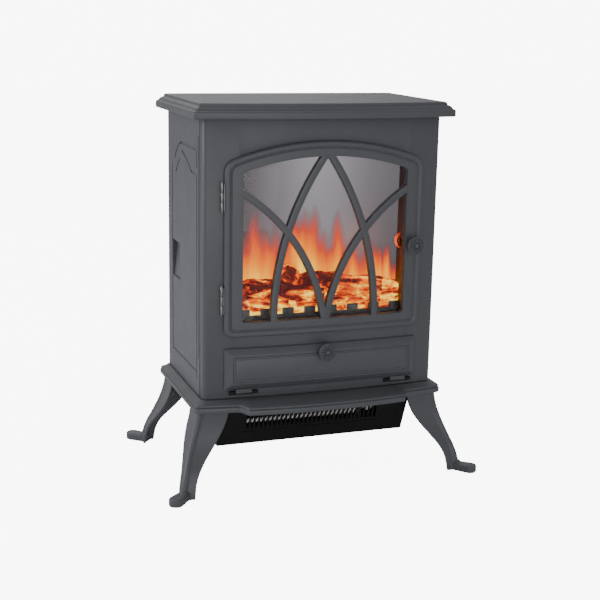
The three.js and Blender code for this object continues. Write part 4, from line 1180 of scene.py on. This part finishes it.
def rosette(name, x, z, rootY, body, node):
    tip = -140.0
    profile = [
        (0.7, tip), (1.2, tip + 0.15), (2.4, tip + 0.6), (3.4, tip + 1.4), (4.0, tip + 2.3),
        (4.2, tip + 3.2), (4.9, tip + 3.5), (5.4, tip + 3.3), (12.6, tip + 3.5), (13.4, tip + 3.8),
        (13.9, tip + 4.6), (14.0, tip + 5.6), (13.7, tip + 6.8), (12.6, tip + 8.2), (10.0, tip + 9.4),
        (7.4, tip + 10.4), (6.2, tip + 12.0), (5.8, tip + 13.6), (6.0, rootY - 1.2), (7.2, rootY - 0.1),
        (7.4, rootY),
    ]
    knob = turned(name, profile, 72, (x, z))
    petals = runTree("petals", petalTree, {**knobLook, "Centre": (x * mm, (tip + 3.6) * mm, z * mm)})
    combine(knob, petals, "UNION", crossing=True)
    finishPiece(outward(knob), body, "stove_paint", [node], smooth=50)


rosette("doorKnob", 142, 373, bowY(142, 8) - 0.3, "door", "door_knob")
rosette("flapKnob", 0, 213, bowY(0, 9) - 0.3, "flap", "flap_knob")
print("knobs ready")

# hinge barrels
hinge = {
    "x": -162.4, "y": -112.6, "length": 43, "low": (276.5, 432.0), "radius": 2.0, "bore": 1.18, "pin": 1.1
}


def barrel(name, low, high, radius, sides=28):
    return rings(
        name,
        [
            [
                (hinge["x"] + r * math.cos(t), hinge["y"] + r * math.sin(t), z)
                for t in spread(0, 2 * math.pi, sides)[:-1]
            ]
            for r, z in (
                (radius - 0.25, low), (radius, low + 0.3), (radius, high - 0.3), (radius - 0.25, high)
            )
        ],
    )


for label, low in zip(("lower", "upper"), hinge["low"]):
    third, high = hinge["length"] / 3, low + hinge["length"]
    x, y = hinge["x"], hinge["y"]
    bore = barrel("bore", low - 2, high + 2, hinge["bore"])
    bracket = blockOf("hingeBracket." + label, (x - 0.8, y + 2.4, low), (x + 0.8, bowY(x) - 0.3, high))
    for start, stop in ((low, low + third), (high - third, high)):
        combine(bracket, blockOf("arm", (x - 0.8, y, start), (x + 0.8, y + 3, stop)), "UNION")
        combine(bracket, barrel("knuckle", start, stop, hinge["radius"]), "UNION")
    combine(bracket, bore)
    finishPiece(outward(bracket), "cabinet", "bright_steel", ["hinge_bracket_" + label], smooth=40)
    edge = -doorSizes["half"] - 0.3
    leaf = blockOf("hingeLeaf." + label, (edge - 0.9, y - 3, low + 1), (edge, y + 3, high - 1))
    combine(
        leaf, blockOf("tongue", (x, y - 0.6, low + third + 0.4), (edge - 0.4, y + 0.6, high - third - 0.4)),
        "UNION",
    )
    combine(leaf, barrel("knuckle", low + third + 0.4, high - third - 0.4, hinge["radius"]), "UNION")
    combine(leaf, barrel("bore", low - 2, high + 2, hinge["bore"]))
    finishPiece(outward(leaf), "door", "bright_steel", ["door_hinge_leaf_" + label], smooth=40)
    pin = barrel("hingePin." + label, low - 1, high + 1, hinge["pin"])
    combine(pin, barrel("head", high + 0.35, high + 1.6, 2.2), "UNION")
    finishPiece(outward(pin), "cabinet", "bright_steel", ["hinge_pin_" + label], smooth=40)
print("hinges ready")

# fender: a low wall with square teeth, grown by one tree
fender = {"Count": 8, "Pitch": 0.0356, "Width": 0.018, "Height": 0.0105, "Depth": 0.0035}
tree, given, end = growTree(
    "toothedWall",
    [
        ("Count", "Int"), ("Pitch", "Float"), ("Width", "Float"), ("Height", "Float"), ("Depth", "Float"),
        ("Start", "Vector"),
    ],
)
tooth = nodeOut(
    tree, "GeometryNodeMeshCube", {"Size": vectorOf(tree, given["Width"], given["Depth"], given["Height"])}
)
line = nodeOut(
    tree, "GeometryNodeMeshLine",
    {"Count": given["Count"], "Start Location": given["Start"], "Offset": vectorOf(tree, given["Pitch"])},
)
teeth = nodeOut(tree, "GeometryNodeInstanceOnPoints", {"Points": line, "Instance": tooth})
closeTree(tree, teeth, end, materials["fender_stone"])
teeth = runTree(
    "fenderTeeth", tree, {**fender, "Start": ((-129.1 + 9) * mm, -87.25 * mm, (277.5 - 5.25) * mm)}
)
fenderWall = blockOf("logFender", (-148, -89, 252), (148, -85.5, 268))
combine(fenderWall, teeth, "UNION")
finishPiece(
    roundEdges(outward(fenderWall), 0.5, 2, 50), "cabinet", "fender_stone", ["log_fender"], smooth=40
)

# logs and embers
logs = [  # middle, half length, radius, turn about z, tilt, seed
    {"at": (-104, -52, 300), "half": 46, "radius": 15, "turn": 6, "tilt": -4, "seed": 1},
    {"at": (-98, -70, 281), "half": 52, "radius": 13, "turn": -5, "tilt": 3, "seed": 2},
    {"at": (-42, -58, 318), "half": 20, "radius": 15, "turn": 52, "tilt": -24, "seed": 3},
    {"at": (-46, -66, 296), "half": 60, "radius": 15, "turn": -8, "tilt": 9, "seed": 4},
    {"at": (12, -56, 310), "half": 36, "radius": 14, "turn": 12, "tilt": 2, "seed": 5},
    {"at": (60, -62, 303), "half": 52, "radius": 17, "turn": -8, "tilt": 7, "seed": 6},
    {"at": (22, -72, 280), "half": 56, "radius": 11, "turn": 6, "tilt": -4, "seed": 7},
    {"at": (112, -56, 297), "half": 36, "radius": 15, "turn": 10, "tilt": 8, "seed": 8},
    {"at": (100, -72, 280), "half": 44, "radius": 12, "turn": -6, "tilt": -3, "seed": 9},
]
emberBed = {"half": 147, "front": -84.0, "back": -33, "low": 256, "rise": 272, "wave": 5.0}


# a charred log: rough rings along its length, hollowed ends, split by long furrows
def logBody(spec):
    around, along = 44, 54
    loops = []
    seed = spec["seed"] * 7.31
    for i in range(-3, along + 4):
        t = min(max(i / along, 0), 1)
        x = (2 * t - 1) * spec["half"]
        shrink = 1.0
        if i < 0:
            shrink = (0.0, 0.45, 0.82)[i + 3]
            x += (1.0 - shrink) * 2.0
        if i > along:
            shrink = (0.82, 0.45, 0.0)[i - along - 1]
            x -= (1.0 - shrink) * 2.0
        shrink = max(shrink, 0.02)
        loop = []
        bend = noise.noise(Vector((t * 2.0 + seed, 0.3, 1.7))) * 4.0
        for k in range(around):
            angle = 2 * math.pi * k / around
            spot = Vector((x * 0.03 + seed, math.cos(angle) * 1.2, math.sin(angle) * 1.2))
            rough = noise.noise(spot) * 0.22 + noise.noise(spot * 3.1) * 0.09
            furrow = noise.noise(Vector((x * 0.022 + seed, math.cos(angle) * 4.2, math.sin(angle) * 4.2)))
            furrow = -0.16 * max(0.0, 1.0 - abs(furrow) * 7.0)
            flake = noise.noise(Vector((x * 0.16, angle * 2.2, seed))) * 0.05
            radius = spec["radius"] * (1 + rough + furrow + flake) * shrink * (1 - 0.12 * abs(2 * t - 1))
            loop.append((x, radius * math.cos(angle), radius * math.sin(angle) + bend))
        loops.append(loop)
    obj = rings("logPart", loops)
    turn = Matrix.Rotation(math.radians(spec["turn"]), 4, "Z")
    tilt = Matrix.Rotation(math.radians(spec["tilt"]), 4, "Y")
    obj.data.transform(Matrix.Translation(Vector(spec["at"]) * mm) @ turn @ tilt)
    return obj


def bedBody():
    columns, rowsBack = 118, 22
    grid = []
    for j in range(rowsBack + 1):
        row = []
        for i in range(columns + 1):
            x = -emberBed["half"] + 2 * emberBed["half"] * i / columns
            y = emberBed["front"] + (emberBed["back"] - emberBed["front"]) * j / rowsBack
            bump = noise.noise(Vector((x * 0.06, y * 0.06, 4.2)))
            bump += 0.5 * noise.noise(Vector((x * 0.17, y * 0.17, 9.1)))
            edge = min(1.0, (y - emberBed["front"]) / 6)
            row.append((x, y, emberBed["rise"] + emberBed["wave"] * bump * edge + 4.0 * edge))
        grid.append(row)
    columnsCount = columns + 1
    verts = [p for row in grid for p in row]
    bottom = [(x, y, emberBed["low"]) for row in grid for x, y, _ in row]
    offset = len(verts)
    faces = []
    for j in range(rowsBack):
        for i in range(columns):
            a = j * columnsCount + i
            faces.append((a, a + 1, a + 1 + columnsCount, a + columnsCount))
            faces.append(tuple(offset + k for k in (a, a + columnsCount, a + columnsCount + 1, a + 1)))
    for i in range(columns):
        for a, b in ((i, i + 1), (rowsBack * columnsCount + i + 1, rowsBack * columnsCount + i)):
            faces.append((b, a, offset + a, offset + b))
    for j in range(rowsBack):
        for a, b in (
            ((j + 1) * columnsCount, j * columnsCount),
            (j * columnsCount + columns, (j + 1) * columnsCount + columns),
        ):
            faces.append((b, a, offset + a, offset + b))
    return outward(makeObject("logBed", verts + bottom, faces))


logBed = bedBody()
for spec in logs:
    combine(logBed, logBody(spec), "UNION")
outward(logBed)
limits = {"x": 148.5, "front": -84.4, "back": -31.5, "top": 342}
points = pointsOf(logBed)
points[:, 0] = np.clip(points[:, 0], -limits["x"] * mm, limits["x"] * mm)
points[:, 1] = np.clip(points[:, 1], limits["front"] * mm, limits["back"] * mm)
points[:, 2] = np.clip(points[:, 2], 256 * mm, limits["top"] * mm)
logBed.data.vertices.foreach_set("co", points.ravel())
glowValues = np.clip(0.98 - (points[:, 2] / mm - 262) / 62.0, 0.18, 0.95)
giveValues(logBed, "glow", glowValues)
finishPiece(logBed, "cabinet", "ember_resin", ["log_bed"], smooth=60)

tree, given, end = growTree(
    "scatteredCoals",
    [
        ("Across", "Float"), ("Deep", "Float"), ("Density", "Float"), ("Centre", "Vector"),
        ("Size", "Float"), ("Seed", "Int"),
    ],
)
patch = nodeOut(
    tree, "GeometryNodeMeshGrid",
    {"Size X": given["Across"], "Size Y": given["Deep"], "Vertices X": 12, "Vertices Y": 3},
)
patch = nodeOut(tree, "GeometryNodeTransform", {"Geometry": patch, "Translation": given["Centre"]})
spots = nodeOut(
    tree, "GeometryNodeDistributePointsOnFaces",
    {"Mesh": patch, "Density": given["Density"], "Seed": given["Seed"]},
)
coal = nodeOut(tree, "GeometryNodeMeshIcoSphere", {"Radius": 1.0, "Subdivisions": 2})
spin = nodeOut(
    tree, "FunctionNodeRandomValue", {0: (0.0, 0.0, 0.0), 1: (6.28, 6.28, 6.28), "Seed": given["Seed"]},
    data_type="FLOAT_VECTOR",
)
small = nodeOut(
    tree, "FunctionNodeRandomValue",
    {0: (0.7, 0.5, 0.45), 1: (1.5, 1.0, 0.9), "Seed": maths(tree, "ADD", given["Seed"], 3.0)},
    data_type="FLOAT_VECTOR",
)
sized = nodeOut(tree, "ShaderNodeVectorMath", {0: small, "Scale": given["Size"]}, operation="SCALE")
coals = nodeOut(
    tree, "GeometryNodeInstanceOnPoints",
    {"Points": spots, "Instance": coal, "Rotation": spin, "Scale": sized},
)
coals = nodeOut(tree, "GeometryNodeRealizeInstances", {"Geometry": coals})
where = nodeOut(tree, "GeometryNodeInputPosition")
rough = shaderNode(
    tree, "ShaderNodeTexNoise", {"Vector": where, "Scale": 180.0, "Detail": 2.0}
).outputs["Color"]
pushed = nodeOut(tree, "ShaderNodeVectorMath", {0: rough, 1: (0.5, 0.5, 0.5)}, operation="SUBTRACT")
pushed = nodeOut(tree, "ShaderNodeVectorMath", {0: pushed, "Scale": 0.005}, operation="SCALE")
coals = nodeOut(tree, "GeometryNodeSetPosition", {"Geometry": coals, "Offset": pushed})
closeTree(tree, coals, end, materials["ember_resin"])
coalLook = {
    "Across": 0.284, "Deep": 0.030, "Density": 13000.0, "Centre": (0, -0.0655, 0.2795), "Size": 0.0042,
    "Seed": 5,
}
emberCoals = runTree("emberCoals", tree, coalLook)
heights = pointsOf(emberCoals)[:, 2]
giveValues(emberCoals, "glow", np.clip(0.86 - (heights - 0.276) * 24.0, 0.25, 1.0))
finishPiece(emberCoals, "cabinet", "ember_resin", smooth=50)
print("fire bed ready")

# flame screen: a fine sheet that carries the flames and the painted reflection as two attributes
film = {"half": 156.7, "low": 243.3, "high": 532.7, "front": -26.0, "back": -23.0, "step": 1.6, "root": 262}
# tip x, tip z, root x, half width at the root, strength
tongues = [
    (-80, 412, -88, 19, 0.95), (-106, 378, -104, 18, 0.85), (-134, 350, -130, 16, 0.7),
    (-50, 392, -58, 13, 0.8), (-24, 410, 2, 20, 1.0), (-4, 412, -4, 18, 0.95), (13, 416, 12, 15, 0.95),
    (30, 380, 30, 15, 0.85), (56, 408, 54, 15, 0.95), (44, 352, 44, 22, 0.9), (82, 372, 82, 16, 0.85),
    (104, 358, 100, 15, 0.75), (124, 342, 122, 16, 0.7), (144, 328, 142, 14, 0.6), (-34, 372, -30, 18, 0.9),
    (-94, 346, -94, 28, 0.85), (-64, 384, -70, 10, 0.8),
]


def filmValues(x, z):
    cool = 1.0
    for tipX, tipZ, rootX, width, strength in tongues:
        t = (z - film["root"]) / (tipZ - film["root"])
        if t >= 1.08:
            continue
        t = max(t, 0.0)
        sway = 3.2 * math.sin(z * 0.055 + tipX * 0.37) * t
        centre = rootX + (tipX - rootX) * t ** 1.3 + sway
        half = width * 1.35 * max(1.08 - t, 0.0) ** 0.5 + 2.4
        across = math.exp(-((x - centre) / (half * 0.72)) ** 2)
        fade = max(0.0, 1.08 - t) ** 0.85
        cool *= 1 - min(0.98, strength * across * fade * 0.92)
    heat = 1 - cool
    wide = noise.noise(Vector((x * 0.05, 3.1, z * 0.012))) * 0.5
    wide += noise.noise(Vector((x * 0.12, 7.7, z * 0.02))) * 0.3
    heat = max(0.0, heat * (1 + 0.35 * wide) - 0.03)
    streak = noise.noise(Vector((x * 0.085, 5.3, 0.4))) + 0.5 * noise.noise(Vector((x * 0.21, 1.9, 2.6)))
    base = min(max(0.0, 1 - (z - 306 - 34 * streak) / 46.0), 1.0) * (0.66 + 0.3 * wide)
    heat = min(1.0, max(heat, min(base, 0.85)))
    # painted reflection: the grey sheen is brightest in the middle, rises towards the top and the right, and
    # fades on the left
    lift = (z - 300) / 220
    middleSheen = math.exp(-((x - 16) / 78) ** 2)
    paintedSheen = 0.15 + 0.66 * middleSheen * (0.50 + 0.50 * min(1, max(0, lift)))
    paintedSheen += 0.16 * min(1, max(0, (x + 20) / 150)) * min(1, max(0, lift)) - 0.16 * max(0.0, (-x - 60) / 90)
    return heat, min(1.0, max(0.0, paintedSheen))


columns = round(2 * film["half"] / film["step"])
levels = round((film["high"] - film["low"]) / film["step"])
verts, heats, paintedSheens = [], [], []
for j in range(levels + 1):
    z = film["low"] + (film["high"] - film["low"]) * j / levels
    for i in range(columns + 1):
        x = -film["half"] + 2 * film["half"] * i / columns
        verts.append((x, film["front"], z))
        heat, paintedSheen = filmValues(x, z)
        heats.append(heat)
        paintedSheens.append(paintedSheen)
wide = columns + 1
faces = [
    (j * wide + i, j * wide + i + 1, (j + 1) * wide + i + 1, (j + 1) * wide + i)
    for j in range(levels)
    for i in range(columns)
]
rim = [i for i in range(wide)] + [(j * wide) + columns for j in range(1, levels + 1)] + \
    [levels * wide + i for i in range(columns - 1, -1, -1)] + [j * wide for j in range(levels - 1, 0, -1)]
offset = len(verts)
for index in rim:
    x, _, z = verts[index]
    verts.append((x, film["back"], z))
    heats.append(0.0)
    paintedSheens.append(0.2)
for k in range(len(rim)):
    n = (k + 1) % len(rim)
    faces.append((rim[n], rim[k], offset + k, offset + n))
faces.append(tuple(offset + k for k in reversed(range(len(rim)))))
flameScreen = makeObject("flameScreen", verts, faces)
for label, values in (("fireHeat", heats), ("paintedSheen", paintedSheens)):
    flameScreen.data.attributes.new(label, "FLOAT", "POINT").data.foreach_set("value", values)
work = bmesh.new()
work.from_mesh(flameScreen.data)
bmesh.ops.recalc_face_normals(work, faces=work.faces)
work.to_mesh(flameScreen.data)
work.free()
finishPiece(flameScreen, "cabinet", "flame_film", ["flame_screen"], smooth=40)
print("flame screen ready")

# heater: slats over a zigzag ribbon, both grown by trees
heaterFace = {"front": -90, "tilt": 20, "low": 54.5, "top": 126.3, "firstSlot": -110, "grilleZ": 93.0}
heaterHeight = heaterFace["top"] - heaterFace["low"]
lean = math.atan2(heaterFace["tilt"], heaterHeight)
outlet = {
    "Slots": 30, "Pitch": 0.00745, "Slot Width": 0.004, "Slot Height": 0.024,
    "Plate": (0.2301, 0.0009, 0.0336),
}
tree, given, end = growTree(
    "slottedPlate",
    [
        ("Slots", "Int"), ("Pitch", "Float"), ("Slot Width", "Float"), ("Slot Height", "Float"),
        ("Plate", "Vector"),
    ],
)
plate = nodeOut(tree, "GeometryNodeMeshCube", {"Size": given["Plate"]})
slot = nodeOut(
    tree, "GeometryNodeMeshCube", {"Size": vectorOf(tree, given["Slot Width"], 0.01, given["Slot Height"])}
)
span = maths(tree, "MULTIPLY", maths(tree, "SUBTRACT", given["Slots"], 1.0), given["Pitch"])
line = nodeOut(
    tree, "GeometryNodeMeshLine",
    {
        "Count": given["Slots"], "Start Location": vectorOf(tree, maths(tree, "MULTIPLY", span, -0.5)),
        "Offset": vectorOf(tree, given["Pitch"]),
    },
)
slots = nodeOut(tree, "GeometryNodeInstanceOnPoints", {"Points": line, "Instance": slot})
cutters = nodeOut(tree, "GeometryNodeRealizeInstances", {"Geometry": slots})
punched = nodeOut(tree, "GeometryNodeMeshBoolean", {0: plate, 1: cutters}, operation="DIFFERENCE")
closeTree(tree, punched, end, materials["black_paint"])
grille = runTree("outletGrille", tree, outlet)
centreX = heaterFace["firstSlot"] * mm + (outlet["Slots"] - 1) * outlet["Pitch"] / 2
centreZ = heaterFace["grilleZ"]
faceY = heaterFace["front"] + heaterFace["tilt"] * (1 - (centreZ - heaterFace["low"]) / heaterHeight)
grillePlace = Matrix.Translation((centreX, (faceY + 0.62) * mm, centreZ * mm))
grille.data.transform(grillePlace @ Matrix.Rotation(lean, 4, "X"))
finishPiece(roundEdges(grille, 0.15, 1, 60), "cabinet", "black_paint", ["outlet_grille"], smooth=40)

ribbonLook = {"Folds": 52, "Length": 0.1937, "Reach": 0.0026, "Depth": 0.004, "Thick": 0.0022}
tree, given, end = growTree(
    "foldedRibbon",
    [
        ("Folds", "Int"), ("Length", "Float"), ("Reach", "Float"), ("Depth", "Float"), ("Thick", "Float"),
        ("Start", "Vector"),
    ],
)
steps = maths(tree, "ADD", given["Folds"], 1.0)
line = nodeOut(
    tree, "GeometryNodeMeshLine",
    {
        "Count": steps, "Start Location": given["Start"],
        "Offset": vectorOf(tree, maths(tree, "DIVIDE", given["Length"], given["Folds"])),
    },
)
index = nodeOut(tree, "GeometryNodeInputIndex")
flip = maths(tree, "SUBTRACT", maths(tree, "MULTIPLY", maths(tree, "MODULO", index, 2.0), 2.0), 1.0)
folded = nodeOut(
    tree, "GeometryNodeSetPosition",
    {"Geometry": line, "Offset": vectorOf(tree, 0.0, 0.0, maths(tree, "MULTIPLY", flip, given["Reach"]))},
)
curve = nodeOut(tree, "GeometryNodeMeshToCurve", {"Mesh": folded})
profile = nodeOut(tree, "GeometryNodeCurvePrimitiveQuadrilateral", {0: given["Thick"], 1: given["Depth"]})
ribbon = nodeOut(
    tree, "GeometryNodeCurveToMesh", {"Curve": curve, "Profile Curve": profile, "Fill Caps": True}
)
closeTree(tree, ribbon, end, materials["heating_alloy"])
ribbon = runTree("elementRibbon", tree, {**ribbonLook, "Start": (-0.1135, -0.0655, 0.0915)})
finishPiece(ribbon, "cabinet", "heating_alloy", ["element_ribbon"], smooth=30)
print("heater ready")

# back cover: vent louvres and screws, grown by trees
cover = {"half": 189.5, "front": 107.8, "back": 109.0, "low": 143.3, "top": 568}
tree, given, end = growTree(
    "ventCutters",
    [("Rows", "Int"), ("Pitch", "Float"), ("Slot", "Vector"), ("Across", "Float"), ("Centre", "Vector")],
)
slot = nodeOut(tree, "GeometryNodeMeshCube", {"Size": given["Slot"]})
span = maths(tree, "MULTIPLY", maths(tree, "SUBTRACT", given["Rows"], 1.0), given["Pitch"])
column = nodeOut(
    tree, "GeometryNodeMeshLine",
    {
        "Count": given["Rows"],
        "Start Location": vectorOf(tree, 0.0, 0.0, maths(tree, "MULTIPLY", span, -0.5)),
        "Offset": vectorOf(tree, 0.0, 0.0, given["Pitch"]),
    },
)
left = nodeOut(
    tree, "GeometryNodeTransform",
    {"Geometry": column, "Translation": vectorOf(tree, maths(tree, "MULTIPLY", given["Across"], -1.0))},
)
right = nodeOut(
    tree, "GeometryNodeTransform", {"Geometry": column, "Translation": vectorOf(tree, given["Across"])}
)
slots = nodeOut(
    tree, "GeometryNodeInstanceOnPoints", {"Points": joinOf(tree, left, right), "Instance": slot}
)
slots = nodeOut(tree, "GeometryNodeTransform", {"Geometry": slots, "Translation": given["Centre"]})
closeTree(tree, slots, end, materials["back_sheet"])
backCover = blockOf(
    "backCover", (-cover["half"], cover["front"], cover["low"]),
    (cover["half"], cover["back"], cover["top"]),
)
for centre in (205, 480):
    vents = runTree(
        "vents", tree,
        {
            "Rows": 6, "Pitch": 0.011, "Slot": (0.1, 0.01, 0.004), "Across": 0.062,
            "Centre": (0, 0.1084, centre * mm),
        },
    )
    combine(backCover, vents)
combine(backCover, turned("glandHole", [(8, 104), (8, 112)], 40, (150, 165)))
finishPiece(roundEdges(outward(backCover), 0.3, 2, 50), "cabinet", "back_sheet", ["back_cover"], smooth=40)

tree, given, end = growTree(
    "coverScrews",
    [
        ("Half", "Float"), ("Low", "Float"), ("High", "Float"), ("Rows", "Int"), ("Radius", "Float"),
        ("Face", "Float"),
    ],
)
head = nodeOut(tree, "GeometryNodeMeshUVSphere", {"Segments": 24, "Rings": 12, "Radius": given["Radius"]})
head = nodeOut(tree, "GeometryNodeTransform", {"Geometry": head, "Scale": (1.0, 0.5, 1.0)})
armA = nodeOut(tree, "GeometryNodeMeshCube", {"Size": (0.0046, 0.0024, 0.0009)})
armB = nodeOut(tree, "GeometryNodeMeshCube", {"Size": (0.0009, 0.0024, 0.0046)})
cross = nodeOut(tree, "GeometryNodeMeshBoolean", {1: joinOf(tree, armA, armB)}, operation="UNION")
cross = nodeOut(tree, "GeometryNodeTransform", {"Geometry": cross, "Translation": (0.0, 0.0016, 0.0)})
head = nodeOut(tree, "GeometryNodeMeshBoolean", {0: head, 1: cross}, operation="DIFFERENCE")
step = maths(
    tree, "DIVIDE", maths(tree, "SUBTRACT", given["High"], given["Low"]),
    maths(tree, "SUBTRACT", given["Rows"], 1.0),
)
column = nodeOut(
    tree, "GeometryNodeMeshLine",
    {
        "Count": given["Rows"], "Start Location": vectorOf(tree, 0.0, given["Face"], given["Low"]),
        "Offset": vectorOf(tree, 0.0, 0.0, step),
    },
)
left = nodeOut(
    tree, "GeometryNodeTransform",
    {"Geometry": column, "Translation": vectorOf(tree, maths(tree, "MULTIPLY", given["Half"], -1.0))},
)
right = nodeOut(
    tree, "GeometryNodeTransform", {"Geometry": column, "Translation": vectorOf(tree, given["Half"])}
)
screws = nodeOut(
    tree, "GeometryNodeInstanceOnPoints", {"Points": joinOf(tree, left, right), "Instance": head}
)
closeTree(tree, screws, end, materials["bright_steel"])
screws = runTree(
    "coverScrews", tree,
    {"Half": 0.180, "Low": 0.158, "High": 0.556, "Rows": 5, "Radius": 0.0036, "Face": 0.1093},
)
finishPiece(screws, "cabinet", "bright_steel", smooth=40)
print("back ready")

# a CAD piece that keeps its shape gets a finish and, where width is given, softened edges
def dress(name, slotName, width=0.0):
    obj = nodes[name]
    obj.data.materials.clear()
    obj.data.materials.append(materials[slotName])
    if width:
        weld = obj.modifiers.new("weld", "WELD")
        weld.merge_threshold = 0.00002
        bevel = obj.modifiers.new("round", "BEVEL")
        bevel.width = width * mm
        bevel.segments = 2
        bevel.limit_method = "ANGLE"
        bevel.angle_limit = math.radians(48)
        bevel.harden_normals = True


keptNodes = {
    "cable_gland": ("black_plastic", 0.4), "leg_bolt_front_left": ("bright_steel", 0.3),
    "leg_bolt_front_right": ("bright_steel", 0.3), "leg_bolt_back_left": ("bright_steel", 0.3),
    "leg_bolt_back_right": ("bright_steel", 0.3), "flap_hinge_pin_left": ("bright_steel", 0.0),
    "flap_hinge_pin_right": ("bright_steel", 0.0), "control_panel": ("black_plastic", 0.4),
    "flame_switch": ("black_plastic", 0.4), "low_heat_switch": ("red_plastic", 0.4),
    "high_heat_switch": ("red_plastic", 0.4), "thermostat_dial": ("black_plastic", 0.5),
    "thermostat_body": ("cream_plastic", 0.4), "firebox_liner": ("firebox_black", 0.0),
    # the door magnet gets the orange painted reflection of the fire
    "fire_surround": ("firebox_black", 0.2), "door_magnet": ("knob_backing", 0.4),
    "led_board": ("circuit_board", 0.0), "flame_spinner": ("foil_steel", 0.0),
    "spinner_bearing": ("cream_plastic", 0.3), "spinner_motor": ("bright_steel", 0.4),
    "heater_housing": ("black_paint", 0.4), "element_frame": ("mica", 0.2),
    "thermal_cutout": ("cream_plastic", 0.2), "fan_rotor": ("fan_aluminium", 0.0),
    "fan_bearing": ("bearing_bronze", 0.3), "fan_motor": ("foil_steel", 0.4),
    "fan_scroll": ("foil_steel", 0.0), "terminal_block": ("cream_plastic", 0.4),
}
for name, (slotName, width) in keptNodes.items():
    dress(name, slotName, width)
print("kept nodes dressed:", len(keptNodes))

# light of the fire itself
fireGlow = {
    "colour": (1.0, 0.20, 0.035), "size": 0.02,
    "lights": [("fireLeft", (-0.07, -0.055, 0.36), 0.5), ("fireRight", (0.085, -0.055, 0.36), 0.75)],
}
for name, at, power in fireGlow["lights"]:
    data = bpy.data.lights.new(name, "POINT")
    data.energy = power
    data.color = fireGlow["colour"]
    data.shadow_soft_size = fireGlow["size"]
    light = bpy.data.objects.new(name, data)
    light.location = at
    light.visible_camera = light.visible_transmission = light.visible_glossy = False
    scene.collection.objects.link(light)

# floor
floor = makeObject(
    "floor", [(-9000, -9000, 0), (9000, -9000, 0), (9000, 9000, 0), (-9000, 9000, 0)], [(0, 1, 2, 3)]
)
tree, shader = newMaterial("studio_floor")
place = shaderNode(tree, "ShaderNodeTexCoord").outputs["Object"]
mottle = noiseOf(tree, place, 3.0, 4.0, 0.5)
tree.links.new(
    blendColours(tree, mottle, studio["floor"], tuple(c * 1.02 for c in studio["floor"])),
    shader.inputs["Base Color"],
)
shader.inputs["Roughness"].default_value = 0.8
shader.inputs["Emission Color"].default_value = (1.0, 1.0, 1.0, 1.0)
seen = shaderNode(tree, "ShaderNodeLightPath").outputs["Is Camera Ray"]
tree.links.new(maths(tree, "MULTIPLY", seen, studio["floorGlow"]), shader.inputs["Emission Strength"])
floor.data.materials.append(materials["studio_floor"])
